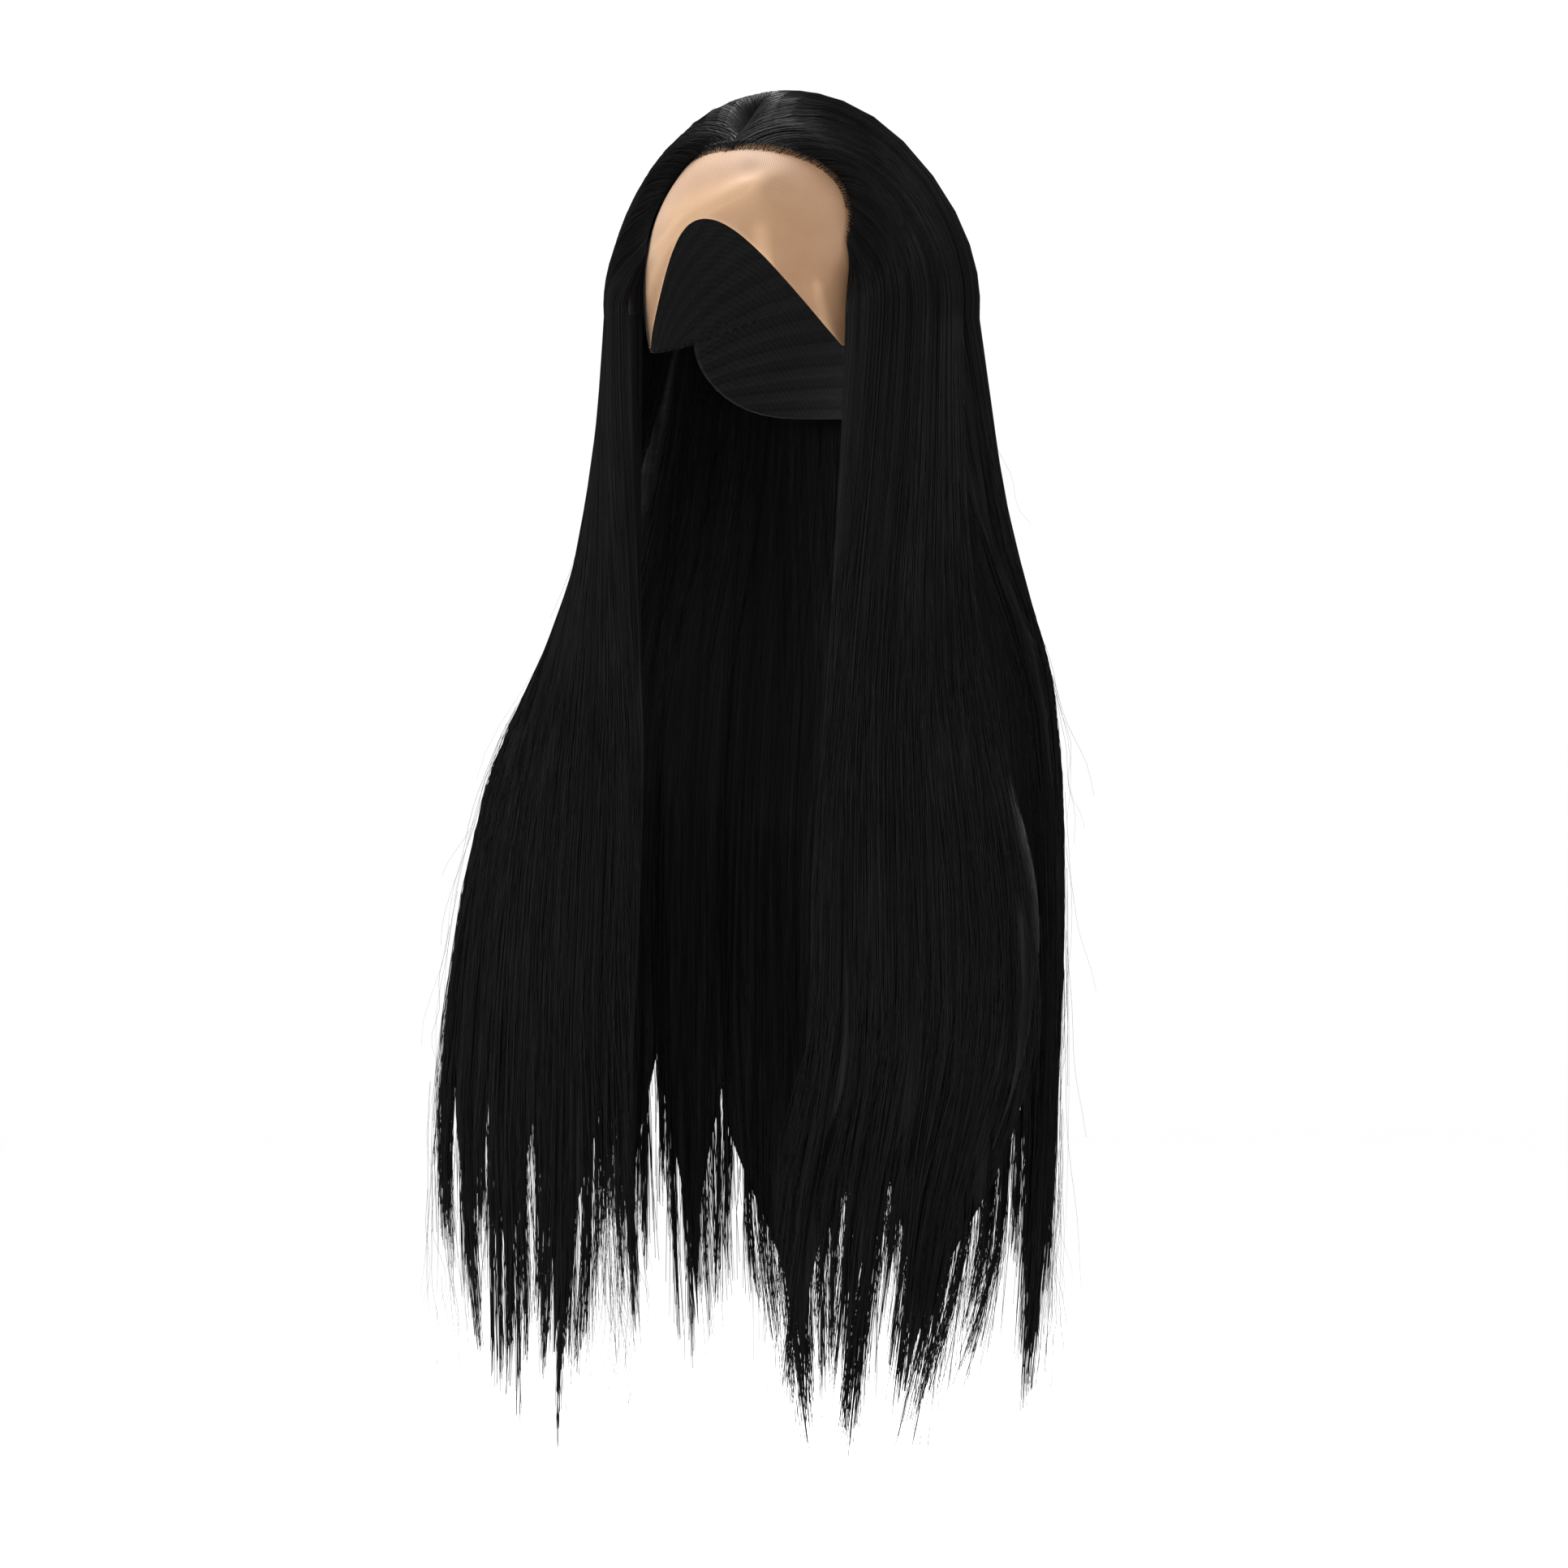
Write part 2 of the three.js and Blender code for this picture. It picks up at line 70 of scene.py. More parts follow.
# The head form and the hair's solids, in millimetres, as in the frame.
HEAD_BREADTH = 152.0
HEAD_LENGTH = 192.0
CROWN_HEIGHT = 95.0
LOWER_HEIGHT = 120.0
CAP_WALL = 1.5
LACE_WALL = 1.0
GAP = 0.3
HAIRLINE_WIDTH = 116.0
HAIRLINE_DROP = 15.0
HAIRLINE_SHOULDER = 50.0
UNDERLAP_SIDE = 10.0
UNDERLAP_TOP = 11.0
CUT_PEAK_DROP = 58.0
CUT_PEAK_OFFSET = 11.0
CUT_END_DROP = 128.0
EAR_TAB_DROP = 130.0
EAR_RISE_DROP = 104.0
EAR_FRONT = 24.0
EAR_BACK = 30.0
NAPE_DROP = 165.0
NAPE_BACK = 72.0
TOP_DEPTH = 15.0
SIDE_DEPTH = 21.0
ROOT_DEPTH = 4.0
ROOT_RUN = 34.0
CORNER_DEPTH = 10.0
PART_DIP = 3.5
PART_WIDTH = 14.0
PART_OFFSET = 9.0
RIM_DROP = 110.0
FALL_LENGTH = 642.0
FALL_DEPTH = 20.0
RIM_CLEARANCE = 1.0
BEHIND_EAR = 105.0
FALL_SPLIT = 1.2
SIDE_FLARE = 92.0
FORWARD_SWEEP = 96.0
BOW_FLARE = 0.26
BOW_SWEEP = 0.7
FACE_SET = 3.5
FACE_CLOSE = 12.0
CHEST_RISE = 16.0
BACK_FLARE = 56.0
NAPE_FLARE = 0.68
BACK_TUCK = 22.0
BACK_SINK = 24.0
LOCK_TIP = 2.4
LOCK_OVERLAP = 3.0

# Plans of the falls at each level: shares of the sizes above, a row for each drop.
FRONT_COLUMNS = ("drop", "earOut", "earFore", "faceIn", "faceUp", "depth")
LEFT_LEVELS = (
    (0, 0, 0, 0, 0, 1),
    (0.08, 0.1, 0.17, 0.1, 0.13, 1),
    (0.16, 0.24, 0.36, 0.1, 0.25, 0.98),
    (0.23, 0.4, 0.57, 0, 0.5, 0.93),
    (0.3, 0.62, 0.78, -0.2, 0.75, 0.87),
    (0.375, 0.8, 0.93, -0.1, 1, 0.82),
    (0.5, 1.04, 0.98, 0.4, 1, 0.78),
    (0.64, 1.04, 0.98, 0.7, 0.88, 0.7),
    (0.76, 0.74, 0.98, 2.3, 0.75, 0.6),
    (1, 0.4, 1, 3.2, 0.5, 0.5),
)
RIGHT_LEVELS = (
    (0, 0, 0, 0, 0, 1),
    (0.08, 0.07, 0.16, 0.17, 0.13, 1),
    (0.16, 0.16, 0.35, 0.42, 0.25, 0.98),
    (0.23, 0.24, 0.55, 0.7, 0.5, 0.93),
    (0.3, 0.4, 0.75, 1, 0.75, 0.87),
    (0.375, 0.63, 0.93, 1.3, 1, 0.82),
    (0.5, 0.88, 1, 1.1, 1, 0.78),
    (0.64, 1.06, 0.98, 0.7, 0.88, 0.7),
    (0.76, 1.1, 0.98, 0.6, 0.75, 0.6),
    (1, 0.95, 1, 0.6, 0.5, 0.5),
)
BACK_COLUMNS = ("drop", "edgeOut", "edgeTuck", "sink", "depth")
BACK_LEVELS = (
    (0, 0, 0, 0, 1),
    (0.06, 0.13, 0, 0, 1),
    (0.12, 0.25, 0.05, 0.04, 1),
    (0.17, 0.37, 0.12, 0.1, 0.98),
    (0.22, 0.54, 0.25, 0.18, 0.95),
    (0.28, 0.78, 0.5, 0.34, 0.9),
    (0.34, 0.92, 0.7, 0.46, 0.86),
    (0.42, 0.98, 0.9, 0.6, 0.82),
    (0.54, 1, 1, 0.7, 0.77),
    (0.68, 0.96, 1, 0.83, 0.68),
    (0.8, 0.9, 1, 0.94, 0.6),
    (1, 0.7, 1.05, 1, 0.5),
)

# The locks: where each starts and ends across its fall, where its tip is, its length, and where it narrows.
LEFT_LOCKS = (
    (0, 0.22, 0.08, 0.92, 0.7),
    (0.22, 0.53, 0.34, 0.97, 0.7),
    (0.53, 0.86, 0.66, 0.96, 0.68),
    (0.86, 1, 0.93, 0.8, 0.65),
)
RIGHT_LOCKS = (
    (0, 0.13, 0.05, 0.83, 0.72),
    (0.13, 0.43, 0.38, 1, 0.68),
    (0.43, 0.69, 0.6, 0.97, 0.72),
    (0.69, 0.9, 0.79, 0.93, 0.74),
    (0.9, 1, 0.95, 0.86, 0.7),
)
BACK_LOCKS = (
    (0, 0.185, 0.1, 0.95, 0.68),
    (0.185, 0.475, 0.42, 0.99, 0.68),
    (0.475, 0.705, 0.57, 0.985, 0.7),
    (0.705, 0.84, 0.77, 0.93, 0.68),
    (0.84, 1, 0.93, 0.885, 0.7),
)

# What differs between the falls. The face-side edge is trimmed back at the rim by trim, in mm, and meets
# the solid's again lower down. square is how square the shoulder of its hairline is. shift moves the roots at
# its side, in mm: by the first number, and at the lowest root by the second too. body is how far down its
# opaque body ends, late is how much later than the solid's lock the strands draw in, clumps is how many
# would go across the whole fall, and strays leave at one of the places across it in stray_from.
FALLS = {
    "left": {
        "levels": LEFT_LEVELS, "locks": LEFT_LOCKS, "mirrored": False, "trim": 9.5, "square": 0.1,
        "shift": (0.5, 1.6), "body": 0.9, "late": 0.06, "clumps": 44, "stray_from": (0.0, 0.0, 1.0, 0.5),
    },
    "right": {
        "levels": RIGHT_LEVELS, "locks": RIGHT_LOCKS, "mirrored": True, "trim": 2.0, "square": 0.3,
        "shift": (-1.5, 0.0), "body": 0.9, "late": 0.06, "clumps": 44, "stray_from": (0.0, 0.0, 1.0, 0.5),
    },
    "back": {
        "levels": BACK_LEVELS, "locks": BACK_LOCKS, "mirrored": False,
        "body": 0.95, "late": 0.1, "clumps": 80, "stray_from": (0.0, 1.0, 0.3),
    },
}
TRIM_RUN = 0.4  # how far down a fall its trim ends, as a share of its length

# The roots over the head, in mm where no share is named.
SPRING = -HAIRLINE_DROP - HAIRLINE_SHOULDER  # where the arch of the hairline springs from its straight sides
ROOT_ADVANCE = 3.0  # how far the first roots are in front of the hair's own edge at the top
SIDE_SHARE = 0.14  # of a front fall, rooted on the straight side of the hairline
LOWEST_ROOT = 10.0  # from the spring down to the lowest root at the side
ROOTED_WIDTH = 122.0  # across which a front fall's roots are spread
KNOT_PITCH = 2.1  # from one knot to the next along the hairline
KNOT_ROW = 2.6  # from one row of knots to the next
KNOT_AHEAD = 3.6  # from the hairline forward to the furthest knots of short hair
KNOT_BEHIND = 6.0  # from the hairline back to where the short hair ends in the mass
KNOT_WIDTH = 0.3
BACK_ROOTS = (-0.52, 0.16)  # where the back's roots start and end, in shares of half the head's length

# The strands: their section, their ends, the places of their points as shares, and their numbers. A row of
# strays holds its fall, how many there are, its seed, and how far they curl in mm.
STRAND_SIDES = 3
SLANT = np.array([0.31, 0.87, 0.38])  # a direction that no strand runs in, from which its section is turned
LOCK_SPREAD = 13.0  # half the width over which a lock's own small points end, in mm
MOST_CLUMPS = 64  # that a lock may have
WISP_WIDTH = 1.25  # of a strand's width
ROOT_POINTS = np.array([
    0.0, 0.022, 0.05, 0.085, 0.125, 0.17, 0.22, 0.275, 0.335, 0.4, 0.47, 0.54, 0.62, 0.7, 0.78, 0.86, 0.93
])
FALL_POINTS = np.array([0.0, 0.04, 0.09, 0.16, 0.26, 0.39, 0.53, 0.67, 0.79, 0.9, 1.0])
WISP_POINTS = np.linspace(0, 1, 8)
FRONT_STRANDS = (("outer", 740), ("inner", 170), ("edge", 200), ("wisp", 1700))
BACK_STRANDS = (("inner", 260), ("edge", 200), ("wisp", 2250))
BACK_OUTER = 640  # outer strands on each half of the back
KNOT_COUNT = 150  # on each side of the hairline
SIDE_STRAYS = (("left", 90, 400, 5.0), ("right", 70, 410, 3.0), ("back", 80, 420, 3.0))
TIP_STRAYS = (("left", 30, 430, 7.0), ("right", 60, 440, 7.0), ("back", 60, 450, 7.0))
BODY_ROWS = 42
BODY_OUT = 0.72  # how near a fall's opaque body comes to its outside, where the strands lie
CROWN_PATCHES = (
    ("left", 0.0, 1.0, 52),
    ("right", 0.0, 1.0, 52),
    ("back", 0.0, 0.5, 44),
    ("back", 0.5001, 1.0, 44),
)

# Folds in the lace: each a soft ridge from one point to another in x and z, its half width and height, in mm.
FOLDS = (
    (-46, -74, 14, -36, 5.0, 0.5),
    (-36, -55, 6, -41, 8.0, 0.45),
    (-52, -96, -30, -62, 4.0, 0.4),
    (35, -62, 35, -84, 3.0, -0.9),
    (43, -78, 43, -104, 3.2, -0.8),
    (22, -66, 30, -96, 4.0, 0.4),
    (50, -96, 54, -122, 3.0, 0.5),
    (8, -30, 30, -44, 6.0, -0.3),
)
LACE_THREAD = 0.00025  # in metres
NET_SOFTNESS = 0.12  # of a thread's edge in the net's pattern, as a share of half the pitch

# The stage, in metres. A lamp's place and aim are from the wig's middle and turn with the camera, and its
# watts and its size follow them.
FLOOR_BELOW = 0.03
SWEEP = 1.5
WALL_HEIGHT = 8.0
SENSOR = 36
FRAME_MARGIN = 1.13
LAMPS = (
    ("key", (-2.2, -2.7, 1.0), (0, 0, 0), 66, 1.4),
    ("fill", (2.8, 0.0, 1.6), (0, 0, 0.2), 65, 1.6),
    ("sheen", (-0.1, 1.0, 2.1), (0, 0, 0.3), 115, 0.9),
)

EAR_ANGLE = math.radians(BEHIND_EAR)
RIM_SHARE = math.sqrt(1 - max(0.0, (RIM_DROP - CROWN_HEIGHT) / LOWER_HEIGHT) ** 2)
RIM_OFFSET = CAP_WALL + RIM_CLEARANCE + FALL_DEPTH / 2
RIM_X = HEAD_BREADTH / 2 * RIM_SHARE + RIM_OFFSET
RIM_Y = HEAD_LENGTH / 2 * RIM_SHARE + RIM_OFFSET
FACE_ANGLE = math.asin((HAIRLINE_WIDTH / 2 + FACE_SET) / RIM_X)
RIM_UZ = -(RIM_DROP - CROWN_HEIGHT) / LOWER_HEIGHT


def mix(a, b, t):
    return a + (b - a) * t


def ramp(x, low, high):
    """0 below low, 1 above high, and a smooth cubic between."""
    t = np.clip((x - low) / (high - low), 0.0, 1.0)
    return t * t * (3 - 2 * t)


def unit(v):
    return v / np.linalg.norm(v, axis=-1, keepdims=True)


def level(fall, column, drop):
    """A table's column at each drop: a cubic through its rows, with slopes from the rows on either side."""
    columns = BACK_COLUMNS if fall == "back" else FRONT_COLUMNS
    table = np.array(FALLS[fall]["levels"], float)
    x, y = table[:, 0], table[:, columns.index(column)]
    slope = np.empty_like(y)
    slope[1:-1] = (y[2:] - y[:-2]) / (x[2:] - x[:-2])
    slope[0], slope[-1] = (y[1] - y[0]) / (x[1] - x[0]), (y[-1] - y[-2]) / (x[-1] - x[-2])
    drop = np.asarray(drop, float)
    i = np.clip(np.searchsorted(x, drop) - 1, 0, len(x) - 2)
    h = x[i + 1] - x[i]
    t = np.clip((drop - x[i]) / h, 0, 1)
    return (
        y[i] * (1 + 2 * t) * (1 - t) ** 2
        + y[i + 1] * t * t * (3 - 2 * t)
        + slope[i] * h * t * (1 - t) ** 2
        - slope[i + 1] * h * t * t * (1 - t)
    )


def rim_point(angle):
    return np.array([RIM_X * math.sin(angle), -RIM_Y * math.cos(angle)])


def rim_corner(a, b):
    return rim_point((a + b) / 2) / math.cos((b - a) / 2)


def plan(fall, drop):
    """The three points of the curve that a fall follows in plan, at each drop."""
    drop = np.asarray(drop, float)
    if fall == "back":
        split = FALL_SPLIT / 2 / RIM_Y
        corner = rim_corner(EAR_ANGLE + split, math.pi)
        corner = corner * (1 + 2 * CORNER_DEPTH * math.sin(EAR_ANGLE) ** 2 / np.linalg.norm(corner))
        ends = (rim_point(EAR_ANGLE + split), corner, rim_point(math.pi))
        edge, nape, middle = (p + np.zeros(drop.shape + (2,)) for p in ends)
        flare = level(fall, "edgeOut", drop) * BACK_FLARE
        sink = level(fall, "sink", drop) * BACK_SINK
        edge[..., 0] += flare
        edge[..., 1] += level(fall, "edgeTuck", drop) * BACK_TUCK
        nape[..., 0] += NAPE_FLARE * flare
        nape[..., 1] -= sink
        middle[..., 1] -= sink
        return edge, nape, middle
    split = FALL_SPLIT / 2 / RIM_Y
    ends = (rim_point(FACE_ANGLE), rim_corner(FACE_ANGLE, EAR_ANGLE - split), rim_point(EAR_ANGLE - split))
    face, bow, ear = (p + np.zeros(drop.shape + (2,)) for p in ends)
    flare = level(fall, "earOut", drop) * SIDE_FLARE
    sweep = level(fall, "earFore", drop) * FORWARD_SWEEP
    face[..., 0] -= level(fall, "faceIn", drop) * FACE_CLOSE
    face[..., 1] -= level(fall, "faceUp", drop) * CHEST_RISE
    bow[..., 0] += BOW_FLARE * flare
    bow[..., 1] -= BOW_SWEEP * sweep
    ear[..., 0] += flare
    ear[..., 1] -= sweep
    trim = FALLS[fall]["trim"] * (1 - ramp(drop, 0.0, TRIM_RUN))
    return face + unit(bow - face) * trim[..., None], bow, ear


def fall_point(fall, across, drop, out):
    """A point of a fall: across its plan curve, down from the rim, and out from -1, inside, to 1, outside."""
    across, drop, out = np.broadcast_arrays(across, drop, out)
    back = fall == "back"
    t = (1 - np.abs(2 * across - 1) if back else across)[..., None]
    a, b, c = plan(fall, drop)
    place = a * (1 - t) ** 2 + 2 * b * t * (1 - t) + c * t * t
    along = unit((b - a) * (1 - t) + (c - b) * t)
    reach = out * level(fall, "depth", drop) * FALL_DEPTH / 2
    x = place[..., 0] + along[..., 1] * reach
    y = place[..., 1] - along[..., 0] * reach
    turned = (across > 0.5) if back else np.full(across.shape, FALLS[fall]["mirrored"])
    z = -RIM_DROP - GAP - drop * FALL_LENGTH
    return np.stack([np.where(turned, -x, x), y, z], -1)


def plan_width(fall, drop):
    """The length of a fall's plan curve at each drop, from 24 chords."""
    t = np.linspace(0, 1, 25)[:, None, None]
    a, b, c = (p[None] for p in plan(fall, np.atleast_1d(drop)))
    line = a * (1 - t) ** 2 + 2 * b * t * (1 - t) + c * t * t
    return np.linalg.norm(np.diff(line, axis=0), axis=-1).sum(0) * (2 if fall == "back" else 1)


def fall_width(fall, drop):
    """The length of a fall's plan curve at each drop, from a table of 41 levels."""
    grid = np.linspace(0, 1, 41)
    return np.interp(drop, grid, plan_width(fall, grid))


def hair_depth(p):
    """How deep the hair on the cap is: thin at the hairline, full behind it, and deeper at the sides."""
    full = mix(TOP_DEPTH, SIDE_DEPTH, ramp(-p[..., 2], 0, RIM_DROP))
    root = mix(ROOT_DEPTH, SIDE_DEPTH, ramp(-p[..., 2], HAIRLINE_DROP, RIM_DROP))
    front = -(HEAD_LENGTH / 2) * math.sqrt(1 - (1 - HAIRLINE_DROP / CROWN_HEIGHT) ** 2)
    back = ramp(p[..., 1], front, front + ROOT_RUN)
    divide = np.exp(-(((p[..., 0] + PART_OFFSET) / PART_WIDTH) ** 2)) * ramp(-p[..., 1], 0, -front)
    turn = np.arctan2(p[..., 0] / HEAD_BREADTH, p[..., 1] / HEAD_LENGTH)
    corner = np.where(p[..., 1] > 0, np.sin(2 * turn) ** 2, 0) * CORNER_DEPTH
    return mix(root, full, back) + corner * ramp(-p[..., 2], SIDE_DEPTH, RIM_DROP) - PART_DIP * divide * back


def head_point(u, lift=0.0):
    """The head form's point in each direction u, a unit vector, moved out along its normal by lift."""
    height = np.where(u[..., 2] >= 0, CROWN_HEIGHT, LOWER_HEIGHT)
    level_half = (np.full_like(height, size / 2) for size in (HEAD_BREADTH, HEAD_LENGTH))
    half = np.stack([*level_half, height], -1)
    p = u * half - [0, 0, CROWN_HEIGHT]
    normal = unit(u / half)
    return p + normal * np.asarray(lift)[..., None], p, normal


def hair_point(u, w):
    """A point in the hair over the head: w is 0 at the cap and 1 at the outside."""
    _, p, normal = head_point(u)
    return p + normal * (CAP_WALL + GAP + w * hair_depth(p))[..., None]


def front_direction(x, z):
    """The direction of the head form's front point with this x and z."""
    height = np.where(z >= -CROWN_HEIGHT, CROWN_HEIGHT, LOWER_HEIGHT)
    ux, uz = x / (HEAD_BREADTH / 2), (z + CROWN_HEIGHT) / height
    return unit(np.stack([ux, -np.sqrt(np.clip(1 - ux**2 - uz**2, 0, 1)), uz], -1))


def root_controls(fall, across, back_set):
    """Four directions that a strand's course over the head follows: its root, where it rises from the root,
    where it turns down, and the rim. back_set moves a root back from the hairline, or out from the middle, in
    radians."""
    across = np.asarray(across, float)
    back = fall == "back"
    t = 1 - np.abs(2 * across - 1) if back else across
    turned = (across > 0.5) if back else np.full(across.shape, FALLS[fall]["mirrored"])
    half = HAIRLINE_WIDTH / 2
    aside = PART_OFFSET * np.where(turned, 1.0, -1.0)
    if back:
        y = mix(*BACK_ROOTS, t**0.75)
        x = aside / (HEAD_BREADTH / 2) * ramp(-y, -0.16, 0.45)
        u0 = np.stack([x, y, np.sqrt(1 - x * x - y * y)], -1)
        turn = t**0.8 * math.pi / 2
        rise = behind = np.stack([np.zeros_like(y), np.sin(turn), np.cos(turn)], -1)
        lift = np.full_like(y, 0.3)
    else:
        low = np.clip(t / SIDE_SHARE, 0, 1)
        high = np.clip((t - SIDE_SHARE) / (1 - SIDE_SHARE), 0, 1)
        arc = high * (np.arccos(aside / half) + 0.06)
        square = 1 - FALLS[fall]["square"] * np.maximum(np.sin(2 * arc), 0)
        x = half * np.sign(np.cos(arc)) * np.abs(np.cos(arc)) ** square
        arch = SPRING + (HAIRLINE_SHOULDER - ROOT_ADVANCE) * np.sin(arc) ** square
        z = np.where(t < SIDE_SHARE, SPRING - LOWEST_ROOT * (1 - low), arch)
        shift = FALLS[fall]["shift"]
        u0 = front_direction(x + (shift[0] + shift[1] * (1 - low)) * (1 - high) ** 4, z)
        turn = high * math.pi / 2
        behind = np.stack([np.cos(turn), np.zeros_like(turn), np.sin(turn)], -1)
        turn = turn - 1.2 * (1 - ramp(t, 0, 0.35))
        rise = np.stack([np.cos(turn), np.zeros_like(turn), np.sin(turn)], -1)
        lift = mix(0.1, 0.4, ramp(t, 0.1, 0.8))
    rim = fall_point(fall, across, 0.0, 0.0)
    angle = np.arctan2(np.abs(rim[..., 0]) / RIM_X, -rim[..., 1] / RIM_Y)
    ring = np.stack([np.sin(angle), -np.cos(angle)], -1)

    def on_ring(uz):
        return np.concatenate([ring * np.sqrt(1 - uz * uz)[..., None], uz[..., None]], -1)

    u1 = unit(u0 + rise * lift[..., None])
    u2 = on_ring(mix(u0[..., 2], RIM_UZ, 0.62))
    u3 = on_ring(np.full_like(t, RIM_UZ))
    set_back = np.asarray(back_set)[..., None]
    u0 = unit(u0 + behind * set_back)
    u1 = unit(u1 + behind * set_back)
    sign = np.where(turned, -1.0, 1.0)[..., None] * [1, 0, 0] + [0, 1, 1]
    return [u * sign for u in (u0, u1, u2, u3)]


def crown_course(fall, across, out, t, back_set=0.0, rising=1.0):
    """Points of strands over the head, t from 0 at the root to 1 at the rim: a cubic curve on their four
    directions, laid in the hair and joined to the fall at the rim. rising is from 0 at the cap to 1 at the
    full depth, and out is from -1 to 1 as in the fall. All five may be arrays that go together."""
    across, out, t, back_set, rising = np.broadcast_arrays(across, out, t, back_set, rising)
    controls = root_controls(fall, across, back_set)
    s = t[..., None]
    weights = ((1 - s) ** 3, 3 * s * (1 - s) ** 2, 3 * s * s * (1 - s), s**3)
    u = unit(sum(w * c for w, c in zip(weights, controls)))
    w = (out + 1) / 2
    p = hair_point(u, w * mix(0.06, 1.0, rising))
    join = fall_point(fall, across, 0.0, out) - hair_point(controls[3], w)
    return p + join * ramp(t, 0.25, 1.0)[..., None]


def root_rise(fall, across, t):
    """How far strands have come up out of the lace or the cap at t: at once on top, slowly at the sides."""
    if fall == "back":
        return ramp(t, 0, mix(0.04, 0.26, ramp(np.abs(2 * across - 1), 0.3, 1.0)))
    return ramp(t, 0, mix(1.0, 0.3, ramp(across, 0.0, 0.5)))


def lock_table(fall):
    """A row for each lock: start, end, tip, length and narrow."""
    return np.array(FALLS[fall]["locks"], float)


def lock_place(fall, lock, rel, share):
    """Where a point of a lock lies in its fall, across and down, and how thin the lock is there: rel is from
    -1 to 1 over the lock, and share is down its length."""
    start, end, tip, length, narrow = lock_table(fall)[lock]
    drop = share * length
    lap = LOCK_OVERLAP / 2 / fall_width(fall, drop)
    first = np.where(start > 0, start - lap, 0.0)
    last = np.where(end < 1, end + lap, 1.0)
    taper = ramp(share, narrow, 1.0) ** 0.8
    centre = mix((first + last) / 2, tip, taper)
    half = mix((last - first) / 2, LOCK_TIP / 2 / fall_width(fall, drop), taper)
    thin = mix(1.0, LOCK_TIP / (level(fall, "depth", drop) * FALL_DEPTH), taper)
    return centre + rel * half, drop, thin


def lens(rel, out, share):
    """A lock's rounded section, faint at the top: the outside dips towards its edges more than the inside."""
    dip = rel**2 * mix(0.12, 1.0, ramp(share, 0.3, 0.75))
    return np.where(out > 0, out * (1 - 0.38 * dip), out * (1 - 0.2 * dip))


def end_round(fall, across, drop):
    """How thick a fall is near its two free edges, as a share of its depth: its section ends in half circles.
    The edges where two falls part are square at the rim, and round off below it."""
    radius = level(fall, "depth", drop) * FALL_DEPTH / 2
    width = fall_width(fall, drop)
    near, far = (np.clip(1 - inset * width / radius, 0, 1) for inset in (across, 1 - across))
    parted = ramp(drop, 0.0, 0.2)
    if fall == "back":
        near = near * parted
    return np.sqrt(np.clip(1 - near**2 - (far * parted) ** 2, 0.0, 1.0))


def new_object(name, points, faces, uv=None):
    """A smooth mesh object from points in millimetres. faces is one array of triangles or quads."""
    mesh = bpy.data.meshes.new(name)
    points = np.asarray(points, np.float32).reshape(-1, 3) * MM
    faces = np.asarray(faces, np.int32)
    corners = faces.shape[1]
    mesh.vertices.add(len(points))
    mesh.vertices.foreach_set("co", points.ravel())
    mesh.loops.add(faces.size)
    mesh.loops.foreach_set("vertex_index", faces.ravel())
    mesh.polygons.add(len(faces))
    mesh.polygons.foreach_set("loop_start", np.arange(0, faces.size, corners, dtype=np.int32))
    mesh.polygons.foreach_set("loop_total", np.full(len(faces), corners, np.int32))
    mesh.update(calc_edges=True)
    if uv is not None:
        layer = mesh.uv_layers.new(name="flow")
        layer.data.foreach_set("uv", np.asarray(uv, np.float32)[faces.ravel()].ravel())
    mesh.polygons.foreach_set("use_smooth", np.full(len(faces), True))
    mesh.validate()
    o = bpy.data.objects.new(name, mesh)
    bpy.context.scene.collection.objects.link(o)
    return o


def face_strand(o):
    """Strands are wound the same way, so one look at the signed volume tells whether all of them face out."""
    mesh = o.data
    co = np.empty(len(mesh.vertices) * 3, np.float32)
    mesh.vertices.foreach_get("co", co)
    co = co.reshape(-1, 3).astype(float)
    index = np.empty(len(mesh.loops), np.int32)
    mesh.loops.foreach_get("vertex_index", index)
    a, b, c = co[index.reshape(-1, 3)].transpose(1, 0, 2)
    if np.einsum("ij,ij->i", a, np.cross(b, c)).sum() < 0:
        mesh.flip_normals()


def strand_piece(name, courses, radius, taper, flow, material):
    """Strands as one piece: a small three-cornered ring carried along each course and closed at both ends.

    courses is strands by points by 3, radius is one for each strand, taper is strands by points, and flow is
    each strand's number for its colour.
    """
    n, m, _ = courses.shape
    along = unit(np.gradient(courses, axis=1))
    side = unit(np.cross(along, SLANT))
    up = np.cross(side, along)
    turn = (np.arange(STRAND_SIDES) / STRAND_SIDES * 2 * math.pi)[:, None]
    ring = np.cos(turn) * side[:, :, None] + np.sin(turn) * up[:, :, None]
    points = courses[:, :, None] + ring * (radius[:, None] * taper)[:, :, None, None]
    index = np.arange(n * m * STRAND_SIDES).reshape(n, m, STRAND_SIDES)
    a, b = index[:, :-1], index[:, 1:]
    ahead = np.roll(np.arange(STRAND_SIDES), -1)
    walls = quads(a, a[..., ahead], b[..., ahead], b)
    triangles = np.concatenate([walls[:, [0, 1, 2]], walls[:, [0, 2, 3]], index[:, 0, ::-1], index[:, -1]])
    step = np.linalg.norm(np.diff(courses, axis=1), axis=-1)
    length = np.concatenate([np.zeros((n, 1)), np.cumsum(step, 1)], 1)
    uv = np.stack(np.broadcast_arrays(flow[:, None, None], (length * MM)[:, :, None]), -1)
    uv = np.broadcast_to(uv, (n, m, STRAND_SIDES, 2)).reshape(-1, 2)
    o = new_object(name, points, triangles, uv)
    face_strand(o)
    return dress(o, material)


def quads(a, b, c, d):
    return np.stack([a, b, c, d], -1).reshape(-1, 4)


